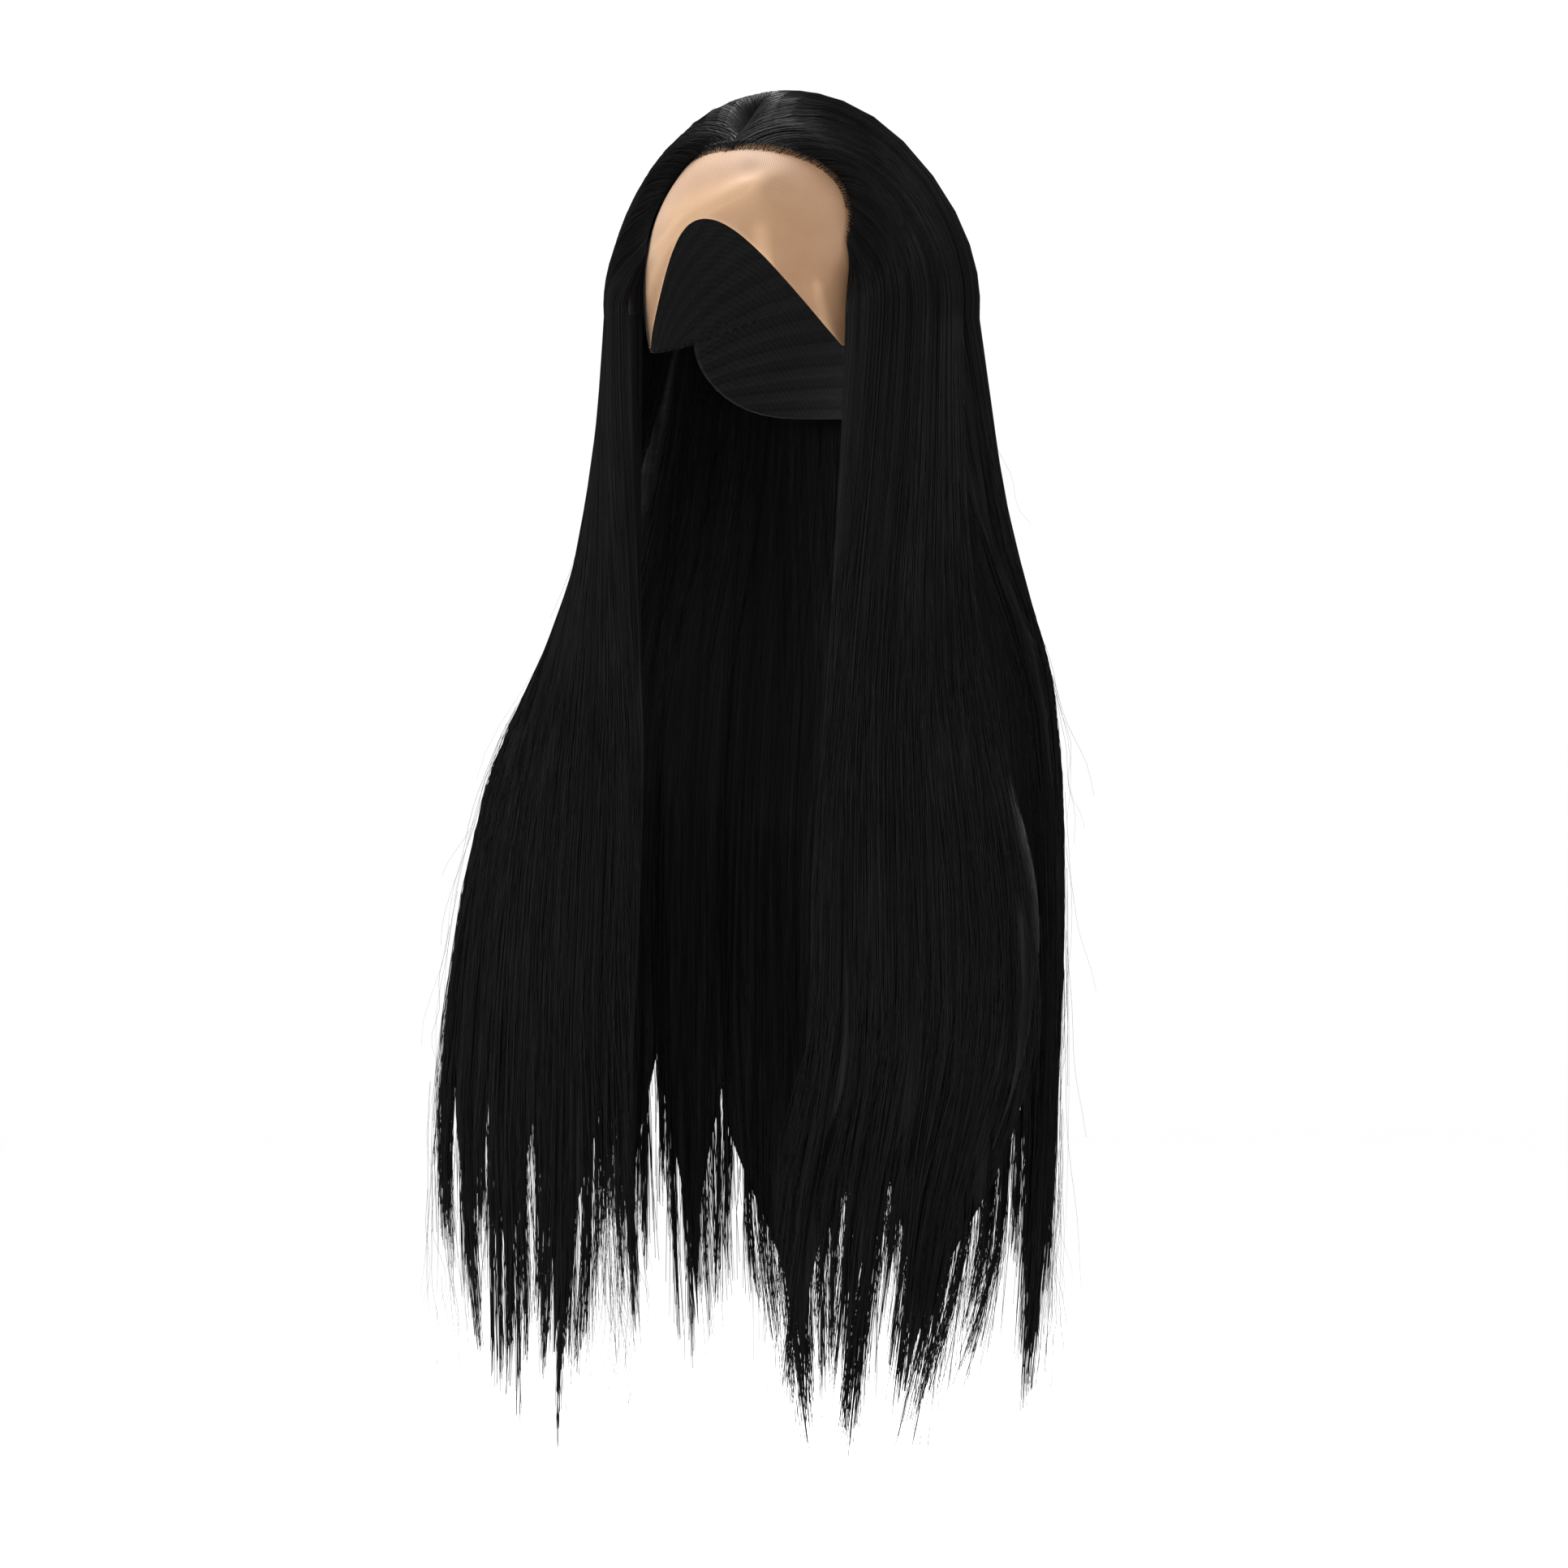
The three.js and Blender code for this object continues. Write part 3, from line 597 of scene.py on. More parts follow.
def grid_quads(index):
    """The quads between the neighbours of a grid of vertex numbers."""
    return quads(index[:-1, :-1], index[1:, :-1], index[1:, 1:], index[:-1, 1:])


def slab(outer, inner, uv_outer):
    """A closed shell between two grids of the same shape, rows by columns, joined all round."""
    rows, columns, _ = outer.shape
    index = np.arange(rows * columns).reshape(rows, columns)
    behind = index + rows * columns
    back = quads(behind[:-1, :-1], behind[:-1, 1:], behind[1:, 1:], behind[1:, :-1])
    loop = np.concatenate([index[0, :-1], index[:-1, -1], index[-1, :0:-1], index[:0:-1, 0]])
    after = np.roll(loop, -1)
    rim = quads(loop, after, after + rows * columns, loop + rows * columns)
    points = np.concatenate([outer.reshape(-1, 3), inner.reshape(-1, 3)])
    uv = np.concatenate([uv_outer.reshape(-1, 2)] * 2)
    return points, np.concatenate([grid_quads(index), back, rim]), uv


def joined(parts):
    """Several (points, faces, uv) as one."""
    points, faces, uvs = zip(*parts)
    starts = np.cumsum([0, *(len(p) for p in points[:-1])])
    return np.concatenate(points), np.concatenate([f + k for f, k in zip(faces, starts)]), np.concatenate(uvs)


def face_out(o, *, weld=False):
    """Turns an object's faces to point out of each closed body, and welds its seams first where asked."""
    work = bmesh.new()
    work.from_mesh(o.data)
    if weld:
        bmesh.ops.remove_doubles(work, verts=work.verts, dist=2e-6)
        bmesh.ops.dissolve_degenerate(work, edges=work.edges, dist=1e-6)
    bmesh.ops.recalc_face_normals(work, faces=work.faces)
    work.to_mesh(o.data)
    work.free()
    return o


def furrow(seed, position, pitch, count=5):
    """Combed furrows across the hair: a sum of sines of mixed widths, about -1 to 1."""
    rng = np.random.default_rng(seed)
    total = np.zeros_like(position)
    for _ in range(count):
        total += np.sin(position * 2 * math.pi / (pitch * rng.uniform(0.55, 1.9)) + rng.uniform(0, 6.3))
    return total / math.sqrt(count) / 1.3


def cubic(points, t):
    """A cubic curve through its four control points in two dimensions, t from 0 to 1."""
    a, b, c, d = np.array(points, float)
    t = t[:, None]
    return a * (1 - t) ** 3 + 3 * b * t * (1 - t) ** 2 + 3 * c * t * t * (1 - t) + d * t**3


# Materials


def feed(tree, node, inputs):
    """Sets a node's inputs: each takes a value, or the output that is linked to it."""
    for name, value in inputs.items():
        if isinstance(value, bpy.types.NodeSocket):
            tree.links.new(value, node.inputs[name])
        else:
            node.inputs[name].default_value = value
    return node


def add_node(tree, kind, inputs=None, **settings):
    node = tree.nodes.new("ShaderNode" + kind)
    for name, value in settings.items():
        setattr(node, name, value)
    return feed(tree, node, inputs or {})


def maths(tree, operation, *values):
    return add_node(tree, "Math", dict(enumerate(values)), operation=operation).outputs[0]


def flow_map(tree):
    """The piece's own flow coordinates: across the strands or the cloth, and along them."""
    return add_node(tree, "UVMap", uv_map="flow").outputs[0]


def mixed_colour(tree, factor, low, high):
    inputs = {"Factor": factor, "A": low, "B": high}
    return add_node(tree, "Mix", inputs, data_type="RGBA").outputs["Result"]


def bumped(tree, height, strength, distance):
    return add_node(tree, "Bump", {"Height": height, "Strength": strength, "Distance": distance}).outputs[0]


def new_material(name):
    material = bpy.data.materials.new(name)
    material.use_nodes = True
    tree = material.node_tree
    return material, tree, next(n for n in tree.nodes if n.type == "BSDF_PRINCIPLED")


def new_group(name, inputs, outputs):
    """An empty node group. inputs and outputs give each socket's kind by its name."""
    tree = bpy.data.node_groups.new(name, "ShaderNodeTree")
    for way, sockets in (("INPUT", inputs), ("OUTPUT", outputs)):
        for label, kind in sockets.items():
            tree.interface.new_socket(label, in_out=way, socket_type="NodeSocket" + kind)
    return tree, tree.nodes.new("NodeGroupInput").outputs, tree.nodes.new("NodeGroupOutput")


def combed_group():
    """Combed hair: streaks that run along the flow, and the fine furrows between strands. The colour follows
    the height, so on a bumped body the furrows get painted shade and the ridges a painted sheen; on the
    strands it is tone that differs at random.
    """
    inputs = {"Flow": "Vector", "Dark": "Color", "Light": "Color", "Across": "Float", "Along": "Float"}
    outputs = {"Color": "Color", "Height": "Float", "Streak": "Float"}
    tree, source, result = new_group("combed_hair", inputs, outputs)
    split = add_node(tree, "SeparateXYZ", {0: source["Flow"]}).outputs
    across = maths(tree, "MULTIPLY", split[0], source["Across"])
    along = maths(tree, "MULTIPLY", split[1], source["Along"])
    place = add_node(tree, "CombineXYZ", {0: across, 1: along}).outputs[0]
    fine = add_node(tree, "TexNoise", noise_dimensions="2D")
    feed(tree, fine, {"Vector": place, "Scale": 1.0, "Detail": 3.0, "Roughness": 0.7})
    coarse = add_node(tree, "TexNoise", noise_dimensions="2D")
    feed(tree, coarse, {"Vector": place, "Scale": 0.17, "Detail": 1.0})
    both = maths(tree, "ADD", maths(tree, "MULTIPLY", fine.outputs["Fac"], 0.65),
                 maths(tree, "MULTIPLY", coarse.outputs["Fac"], 0.35))
    streak = add_node(tree, "MapRange", {"Value": both, "From Min": 0.35, "From Max": 0.68}).outputs[0]
    # Dark in the furrows and light on the ridges: painted shade and painted sheen where the height bumps a
    # body, random tone on the strands.
    colour = mixed_colour(tree, streak, source["Dark"], source["Light"])
    feed(tree, result, {"Color": colour, "Height": both, "Streak": streak})


def hair_material(name, sizes, across, along, bump):
    """Black fibre with a soft grey sheen. The streaks follow the piece's own flow coordinates; where the piece
    is bumped their colour is painted shade in the furrows and painted sheen on the ridges, and on the strands
    it is random tone.
    """
    material, tree, shader = new_material(name)
    combed = add_node(tree, "Group", node_tree=bpy.data.node_groups["combed_hair"])
    feed(tree, combed, {"Flow": flow_map(tree), "Dark": (*sizes.dark, 1), "Light": (*sizes.light, 1)})
    feed(tree, combed, {"Across": across, "Along": along})
    rough = maths(tree, "MULTIPLY_ADD", combed.outputs["Streak"], -0.14, sizes.roughness + 0.07)
    feed(tree, shader, {"Base Color": combed.outputs["Color"], "Roughness": rough})
    feed(tree, shader, {"Specular IOR Level": sizes.shine})
    if bump:
        feed(tree, shader, {"Normal": bumped(tree, combed.outputs["Height"], 0.9, bump)})
    return material


def net_group():
    """Knotted net: threads that cross on the slant in a diamond mesh, from 0 in a hole to 1 on a thread."""
    inputs = {"Flow": "Vector", "Pitch": "Float", "Thread": "Float"}
    tree, source, result = new_group("net", inputs, {"Thread": "Float"})
    split = add_node(tree, "SeparateXYZ", {0: source["Flow"]}).outputs
    lines = []
    for slope in (0.62, -0.62):
        slant = maths(tree, "MULTIPLY_ADD", split[1], slope, split[0])
        saw = maths(tree, "FRACT", maths(tree, "DIVIDE", slant, source["Pitch"]))
        away = maths(tree, "ABSOLUTE", maths(tree, "SUBTRACT", saw, 0.5))
        lines.append(maths(tree, "MULTIPLY", away, 2.0))
    edge = maths(tree, "SUBTRACT", 1.0, source["Thread"])
    cover = add_node(tree, "MapRange", interpolation_type="SMOOTHSTEP")
    feed(tree, cover, {
        "Value": maths(tree, "MAXIMUM", *lines),
        "From Min": maths(tree, "SUBTRACT", edge, NET_SOFTNESS),
        "From Max": maths(tree, "ADD", edge, NET_SOFTNESS),
    })
    feed(tree, result, {"Thread": cover.outputs[0]})


def net_thread(tree, pitch, thread):
    net = add_node(tree, "Group", node_tree=bpy.data.node_groups["net"])
    return feed(tree, net, {"Flow": flow_map(tree), "Pitch": pitch, "Thread": thread}).outputs["Thread"]


def lace_material(sizes):
    """Sheer skin-coloured net with painted light and shade: a painted highlight along its cut edge, painted
    light on its raised folds, and painted shade in its sunken creases and on the wearer's left.
    """
    material, tree, shader = new_material("sheer_lace")
    thread = net_thread(tree, sizes.pitch, 0.3)
    painted_light_and_shade = add_node(tree, "Attribute", attribute_name="painted_light_and_shade").outputs["Fac"]
    place = add_node(tree, "TexCoord").outputs["Object"]
    cloud = add_node(tree, "TexNoise", {"Vector": place, "Scale": 28.0, "Detail": 2.0}).outputs["Fac"]
    # The tone mixes a random cloud with the lace's painted light and shade.
    tone = maths(tree, "MULTIPLY_ADD", cloud, 0.5, painted_light_and_shade)
    feed(tree, shader, {
        "Base Color": mixed_colour(tree, tone, (*sizes.shade, 1), (*sizes.colour, 1)),
        "Alpha": maths(tree, "MULTIPLY_ADD", thread, 0.97 - sizes.sheer, sizes.sheer),
        "Roughness": 0.6,
        "Sheen Weight": 0.12,
        "Sheen Roughness": 0.4,
        "Normal": bumped(tree, thread, 0.35, 0.0003),
    })
    return material


def cap_material(sizes):
    """Dark stretch net sewn with rows of wefts: a fine rib, and a stitched band every few millimetres."""
    material, tree, shader = new_material("cap_cloth")
    thread = net_thread(tree, 0.0022, 0.45)
    split = add_node(tree, "SeparateXYZ", {0: flow_map(tree)}).outputs
    row = maths(tree, "FRACT", maths(tree, "DIVIDE", split[1], sizes.weft))
    away = maths(tree, "ABSOLUTE", maths(tree, "SUBTRACT", row, 0.5))
    band = add_node(tree, "MapRange", interpolation_type="SMOOTHSTEP")
    band = feed(tree, band, {"Value": away, "From Min": 0.15, "From Max": 0.35}).outputs[0]
    height = maths(tree, "MULTIPLY_ADD", band, -1.5, thread)
    feed(tree, shader, {
        "Base Color": mixed_colour(tree, band, (*sizes.weft_colour, 1), (*sizes.colour, 1)),
        "Roughness": 0.85,
        "Normal": bumped(tree, height, 0.8, 0.0005),
    })
    return material


# Pieces


def dress(o, material, *nodes_replaced, slot="hair"):
    """Gives a piece its material and its body, and hides the parts of the model that it stands for. Its slot
    argument is not used.
    """
    o.data.materials.append(material)
    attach(o, "root")
    if nodes_replaced:
        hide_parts(*nodes_replaced)
    return o


def fall_body(fall):
    """The opaque body of a fall: each lock a closed shell a little inside the strands, with furrows."""
    parts = []
    end_share = FALLS[fall]["body"]
    share = np.linspace(-0.004, end_share, BODY_ROWS)[:, None]
    held = mix(0.985, 0.06, ramp(share, end_share - 0.27, end_share + 0.03))
    for k, (start, end, _, length, _) in enumerate(lock_table(fall)):
        columns = max(11, int(round((end - start) * 90)))
        rel = np.linspace(-1, 1, columns)[None]
        across, drop, thin = lock_place(fall, k, rel * held, np.broadcast_to(share, (BODY_ROWS, columns)))
        width = fall_width(fall, drop)
        comb = furrow(11 + k, across * width, 5.0) * 0.04
        edge = 1 - 0.8 * np.abs(rel) ** 6 * ramp(share, 0.3, 0.6)
        edge = edge * np.maximum(0.1, end_round(fall, across, drop))
        bulk = thin * mix(1.0, 0.25, ramp(share, 0.45, end_share))
        outer, inner = (
            fall_point(fall, across, drop, (lens(rel, out, share) * edge + comb) * bulk)
            for out in (BODY_OUT, -BODY_OUT)
        )
        down = np.broadcast_to(share * length * FALL_LENGTH, across.shape)
        parts.append(slab(outer, inner, np.stack([across * width, down], -1) * MM))
    return face_out(new_object(f"{fall}_hair_body", *joined(parts)))


def crown_body():
    """The opaque body of the hair on the cap: a wall on the strands' own courses from root to rim."""
    parts = []
    t = np.linspace(0, 1, 28)[None] ** 1.3
    for fall, first, last, columns in CROWN_PATCHES:
        across = np.linspace(first, last, columns)[:, None]
        width = float(plan_width(fall, 0.0)[0])
        full = np.maximum(end_round(fall, across, 0.0), 0.1)
        comb = furrow(31, across * width, 6.0) * 0.2 * ramp(t, 0.05, 0.4)
        set_back = 0.0 if fall == "back" else 0.075
        shy = 1.0 if fall == "back" else mix(0.1, 1.0, ramp(across, 0.03, 0.14))
        rising = root_rise(fall, across, t)
        outer = crown_course(fall, across, 0.62 * full * shy, t, set_back, rising)
        inner = crown_course(fall, across, -0.97 * full, t, set_back, rising)
        outer = outer + unit(outer - inner) * comb[..., None]
        far = np.broadcast_to(t * 0.15, outer.shape[:2])
        uv = np.stack([np.broadcast_to(across * width * MM, far.shape), far], -1)
        parts.append(slab(outer, inner, uv))
    return face_out(new_object("crown_hair_body", *joined(parts)))


def strand_courses(fall, count, seed, kind, first=0.0, last=1.0):
    """Courses of strands from their roots to their tips, and their taper.

    A strand starts across its lock at random, keeps its place over the head and down the fall, draws in with
    its lock and its own small clump towards the tip, and waves a little with its clump and by itself. At the
    hairline the strands rise in bunches from rows of knots. kind is outer, inner, edge, for the sides of a
    fall, or wisp, for the thin lower ends.
    """
    rng = np.random.default_rng(seed)
    locks = lock_table(fall)
    across0 = first + (last - first) * (np.arange(count) + rng.uniform(0, 1, count)) / count
    out = {
        "outer": 1.0 - np.abs(rng.normal(0, 0.1, count)),
        "inner": -1.0 + np.abs(rng.normal(0, 0.15, count)),
        "edge": np.sin(rng.uniform(-1.5, 1.5, count)),
        "wisp": rng.uniform(-0.9, 0.95, count),
    }[kind]
    if kind == "edge":
        side = rng.uniform(0, 1, count) < 0.6
        inset = (1 - np.sqrt(1 - out**2)) * FALL_DEPTH / 2 + rng.uniform(0, 1.0, count)
        inset = inset / float(plan_width(fall, 0.0)[0])
        across0 = np.where(side, inset, 1 - inset)
    lock = np.clip(np.searchsorted(locks[:, 1], across0), 0, len(locks) - 1)
    start, end, tip, length, narrow = locks[lock].T
    rel = np.clip(2 * (across0 - start) / (end - start) - 1, -1, 1)

    # Its clump, and the numbers that all of a clump's strands share.
    per_lock = np.maximum(6, np.round((end - start) * FALLS[fall]["clumps"])).astype(int)
    clump = np.clip((rel + 1) / 2 * per_lock + rng.normal(0, 0.3, count), 0, per_lock - 1).astype(int)
    number = lock * MOST_CLUMPS + clump
    clump_rng = np.random.default_rng(seed // 10 + 500)
    shared = clump_rng.uniform(-1, 1, (7, MOST_CLUMPS * 8))
    centre_shift, out_shift, reach_shift, phase, speed, swing, bend = shared[:, number]
    clump_rel = (clump + 0.5) / per_lock * 2 - 1 + 0.9 * centre_shift / per_lock
    clump_out = out_shift * 0.8

    # Its reach, so that each lock ends in a point of many small points.
    clump_reach = 1.01 - 0.16 * np.abs(clump_rel) ** 2 - 0.06 * (1 + reach_shift)
    early = rng.uniform(0, 1, count) < 0.4
    reach = clump_reach * np.where(early, rng.uniform(0.74, 1.0, count), rng.uniform(0.95, 1.02, count))
    reach = np.minimum(reach, 1.012 / length)
    s, begin = (WISP_POINTS, 0.45) if kind == "wisp" else (FALL_POINTS, 0.0)
    share = begin + (reach[:, None] - begin) * s
    drop = share * length[:, None]
    width = fall_width(fall, drop)

    # Its place across and out, drawn in to its clump and its lock's tip.
    lap = LOCK_OVERLAP / 2 / width
    low = np.where(start[:, None] > 0, start[:, None] - lap, 0.0)
    high = np.where(end[:, None] < 1, end[:, None] + lap, 1.0)
    loose = rng.uniform(0, 1, count) ** 4 * 0.9
    taper = ramp(share, narrow[:, None] + FALLS[fall]["late"], 1.06) * (1 - loose)[:, None]
    held = (1 - 0.12 * rng.uniform(0, 1, count)) * (1 - loose)
    drawn = ramp(share, clump_reach[:, None] - 0.42, clump_reach[:, None]) * held[:, None]
    place = mix(rel[:, None], clump_rel[:, None], drawn)
    free = (low + high) / 2 + place * (high - low) / 2
    across = mix(free, tip[:, None] + LOCK_SPREAD / width * place, taper)
    depth = level(fall, "depth", drop) * FALL_DEPTH
    thin = mix(1.0, 5.0 / depth, taper)
    out_now = mix(out[:, None], clump_out[:, None], drawn)
    full = 1.0 if kind == "edge" else mix(end_round(fall, np.clip(across, 0, 1), drop), 1.0, taper)
    out_now = lens(np.clip(place, -1, 1), out_now, share) * thin * full

    # The waves, the clump's and its own, and the bend at the tip.
    far = drop * FALL_LENGTH
    swing_now = 1.3 * swing[:, None] * ramp(share, 0.12, 0.7)
    wave = swing_now * np.sin(far / (38 + 9 * speed)[:, None] + 3 * phase[:, None])
    size = rng.uniform(0.1, 0.6, count)[:, None]
    own = np.sin(far / rng.uniform(14, 30, count)[:, None] + rng.uniform(0, 6.3, count)[:, None])
    own = size * own * ramp(share, 0.05, 0.4)
    near_tip = ramp(share / reach[:, None], 0.75, 1.0)
    flick = (rng.normal(0, 1.0 + 5 * loose, count) + 4.5 * bend)[:, None] * near_tip**1.5
    across = np.clip(across + (wave + own + flick) / width, 0, 1)
    out_now = out_now + (rng.normal(0, 0.8 + 4 * loose, count)[:, None] * near_tip + own * 0.4) / (depth / 2)
    course = fall_point(fall, across, drop, out_now)
    if kind == "wisp":
        return course, np.broadcast_to(ramp(s, -0.05, 0.2) * (1 - 0.4 * ramp(s, 0.6, 1.0)), share.shape)

    # Over the head, from its root.
    rooted = kind in ("outer", "edge")
    t = ROOT_POINTS[None] if rooted else np.array([[0.62, 0.8]])
    t = np.broadcast_to(t, (count, t.size))
    place, row = across[:, :1], np.zeros((count, 1))
    if rooted and fall != "back":
        pitch = KNOT_PITCH / ROOTED_WIDTH
        row = rng.integers(0, 4, count)[:, None] + 0.0
        knot = (np.round(place / pitch + 0.5 * (row % 2)) - 0.5 * (row % 2)) * pitch
        knot = knot + rng.normal(0, 0.001, count)[:, None]
        place = mix(knot, place, ramp(t, 0.015, 0.12))
    spread = mix(0.3, 1.0, ramp(place, SIDE_SHARE, 0.55))
    set_back = (row * KNOT_ROW + 3.5 * (row > 0)) * spread / CROWN_HEIGHT
    set_back = set_back + rng.normal(0, 0.004, count)[:, None]
    if rooted and fall == "back":
        set_back = rng.uniform(-0.01, 0.06, count)[:, None]
    rising = root_rise(fall, place, t) if rooted else 1.0
    head = crown_course(fall, np.clip(place, 0, 1), out_now[:, :1], t, set_back, rising)
    down = np.concatenate([np.zeros(t.shape), share / reach[:, None]], 1)
    thick = 1 - 0.35 * ramp(down, 0.7, 1.0)
    if rooted:
        thick[:, 0] = 0.45
    return np.concatenate([head, course], 1), thick


def add_strands(name, sizes, material, fall, kind, count, seed, first=0.0, last=1.0):
    """One piece of many strands of one kind, over all of a fall or from first to last across it."""
    courses, taper = strand_courses(fall, int(count * sizes.density), seed, kind, first, last)
    rng = np.random.default_rng(seed + 1)
    width = sizes.width * (WISP_WIDTH if kind == "wisp" else 1.0)
    radius = width / 2 * rng.uniform(0.7, 1.2, len(courses))
    strand_piece(name, courses, radius, taper, rng.uniform(0, 1, len(courses)), material)


def knot_courses(fall, count, seed):
    """Short hairs knotted into the lace in front of a fall's hairline: each stands up from its knot and lies
    back into the hair behind it."""
    rng = np.random.default_rng(seed)
    s = np.linspace(0, 1, 5)[None]
    place = mix(1.9 * SIDE_SHARE, 1.0, (np.arange(count) + rng.uniform(0, 1, count)) / count)[:, None]
    ahead = KNOT_AHEAD * rng.uniform(0.2, 1.0, count)[:, None] * mix(0.2, 1, ramp(place, 0.25, 0.6))
    lean = rng.normal(0, 0.012, count)[:, None] * s
    reach = mix(-ahead, KNOT_BEHIND, s)
    u = root_controls(fall, np.clip(place + lean, 0, 1), reach / (HEAD_BREADTH / 2))[0]
    course = head_point(u, mix(LACE_WALL * 0.6, CAP_WALL + GAP + ROOT_DEPTH * 0.5, s**1.5))[0]
    return course, np.broadcast_to(1 - 0.35 * s, (count, s.size))


def add_knots(material, count):
    """The short hairs of both sides of the hairline as one piece."""
    parts = [knot_courses(fall, count, seed) for fall, seed in (("left", 500), ("right", 501))]
    courses, taper = (np.concatenate(rows) for rows in zip(*parts))
    flow = np.random.default_rng(502).uniform(0, 1, len(courses))
    strand_piece("hairline_knots", courses, np.full(len(courses), KNOT_WIDTH / 2), taper, flow, material)


def stray_courses(fall, count, seed, curl, first, last):
    """Courses of single hairs that have left the mass: each leaves a fall at random between two levels,
    drifts off sideways and outwards, and curls a little."""
    rng = np.random.default_rng(seed)
    start = rng.uniform(first, last, count)[:, None]
    length = rng.uniform(0.1, 0.32, count)[:, None]
    s = np.linspace(0, 1, 14)[None]
    drop = np.minimum(start + length * s, 1.0)
    side = rng.choice(FALLS[fall]["stray_from"], count)[:, None]
    width = fall_width(fall, drop)
    depth = level(fall, "depth", drop) * FALL_DEPTH
    across = side + np.where(side > 0.4, -1, 1) * np.abs(rng.normal(0, 12, count))[:, None] / width
    drift = rng.normal(0, 9, count)[:, None] * s**2
    turns, phase = rng.uniform(0.6, 2.6, count)[:, None], rng.uniform(0, 6.3, count)[:, None]
    wave = curl * rng.uniform(0.2, 1.0, count)[:, None] * s * np.sin(turns * 6.283 * s + phase)
    out = 1.0 + (np.abs(rng.normal(0, 5, count))[:, None] * s + 0.5 * wave) / (depth / 2)
    out = np.where(rng.uniform(0, 1, count)[:, None] < 0.25, -out, out)
    place = np.clip(across, 0, 1)
    course = fall_point(fall, place, drop, out)
    a, _, c = plan(fall, drop)
    back = fall == "back"
    aside = unit((a - c) * np.where(place > 0.5, -1.0, 1.0)[..., None]) if back else unit(c - a)
    sign = np.where((place > 0.5) if back else FALLS[fall]["mirrored"], -1.0, 1.0)
    course[..., 0] += sign * aside[..., 0] * (drift + wave)
    course[..., 1] += aside[..., 1] * (drift + wave)
    return course, np.broadcast_to(1 - 0.5 * s, (count, s.size))


def add_strays(name, material, fall, count, seed, width, curl, first, last):
    courses, taper = stray_courses(fall, count, seed, curl, first, last)
    rng = np.random.default_rng(seed + 1)
    radius = width / 2 * rng.uniform(0.7, 1.1, count)
    strand_piece(name, courses, radius, taper, rng.uniform(0, 1, count), material)


def cut_edge(s):
    """The lace's cut edge in x and z, s from 0 at the wearer's right to 1 at the left: two cubic curves."""
    end, peak = HAIRLINE_WIDTH / 2, -CUT_PEAK_OFFSET
    top, low, fall = -CUT_PEAK_DROP, -CUT_END_DROP, CUT_END_DROP - CUT_PEAK_DROP
    left = [(peak, top), (mix(peak, end, 0.3), top), (mix(peak, end, 0.72), top - 0.42 * fall), (end, low)]
    right = [(-end, low), (mix(peak, -end, 0.4), top - 0.5 * fall), (mix(peak, -end, 0.52), top), (peak, top)]
    on_right = cubic(right, np.clip(2 * s, 0, 1))
    return np.where((s < 0.5)[:, None], on_right, cubic(left, np.clip(2 * s - 1, 0, 1)))


def arch_edge(s, side, top):
    """The arch that the lace runs up to under the hair, in x and z: two straight sides and a half ellipse."""
    half, rise = HAIRLINE_WIDTH / 2 + side, HAIRLINE_SHOULDER + top
    turn = math.pi * (1 - np.clip((s - 0.2) / 0.6, 0, 1))
    low = np.clip(np.minimum(s, 1 - s) / 0.2, 0, 1)
    z = np.where((s < 0.2) | (s > 0.8), mix(-CUT_END_DROP, SPRING, low), SPRING + rise * np.sin(turn))
    return np.stack([half * np.cos(turn), z], -1)


def fold_height(x, z):
    """The sum of the folds: a bell across each one's line, fading past its ends."""
    total = np.zeros_like(x)
    for x0, z0, x1, z1, width, height in FOLDS:
        run = np.array([x1 - x0, z1 - z0], float)
        long = np.linalg.norm(run)
        along = ((x - x0) * run[0] + (z - z0) * run[1]) / long
        across = (-(x - x0) * run[1] + (z - z0) * run[0]) / long
        past = np.maximum(0, np.maximum(-along, along - long))
        total += height * np.exp(-((across / width) ** 2) - (past / (1.6 * width)) ** 2)
    return total


def sheet_area(points, faces):
    """The area of a grid of quads in square metres, from their diagonals."""
    p = points.reshape(-1, 3)[faces] * MM
    return float(np.linalg.norm(np.cross(p[:, 2] - p[:, 0], p[:, 3] - p[:, 1]), axis=-1).sum() / 2)


def lace_sheet():
    """The lace as a grid from its cut edge up to the arch under the hair, laid on the head form and folded.
    It carries an attribute of painted light and shade: a painted highlight at the cut edge, painted light on
    the raised ridges, and painted shade in the sunken creases and on the wearer's left."""
    s, t = np.linspace(0, 1, 121), np.linspace(0, 1, 41)
    inset = GAP + 0.3
    low, high = cut_edge(s), arch_edge(s, UNDERLAP_SIDE - inset, UNDERLAP_TOP - inset)
    xz = low[:, None] + (high - low)[:, None] * t[None, :, None]
    x, z = xz[..., 0], xz[..., 1]
    height = fold_height(x, z)
    near = ramp(t, 0, 0.12)[None] * ramp(-t, -1, -0.7)[None]
    points = head_point(front_direction(x, z), LACE_WALL * 0.5 + height * near)[0]
    faces = grid_quads(np.arange(x.size).reshape(x.shape))
    o = new_object("sheer_lace_front", points, faces, xz.reshape(-1, 2) * MM)
    # Painted light and shade: a painted highlight along the cut edge, painted light on the raised folds,
    # painted shade in the sunken folds and towards the wearer's left.
    edge = 0.35 * np.exp(-((t / 0.02) ** 2))[None]
    painted_light_and_shade = np.clip(0.26 + 1.1 * height + edge - 0.45 * ramp(x, 0, 60), 0, 1)
    o.data.attributes.new("painted_light_and_shade", "FLOAT", "POINT").data.foreach_set("value", painted_light_and_shade.ravel().astype(np.float32))
    thick = o.modifiers.new("thread", "SOLIDIFY")
    thick.thickness, thick.offset = LACE_THREAD, 0.0
    return o, sheet_area(points, faces)


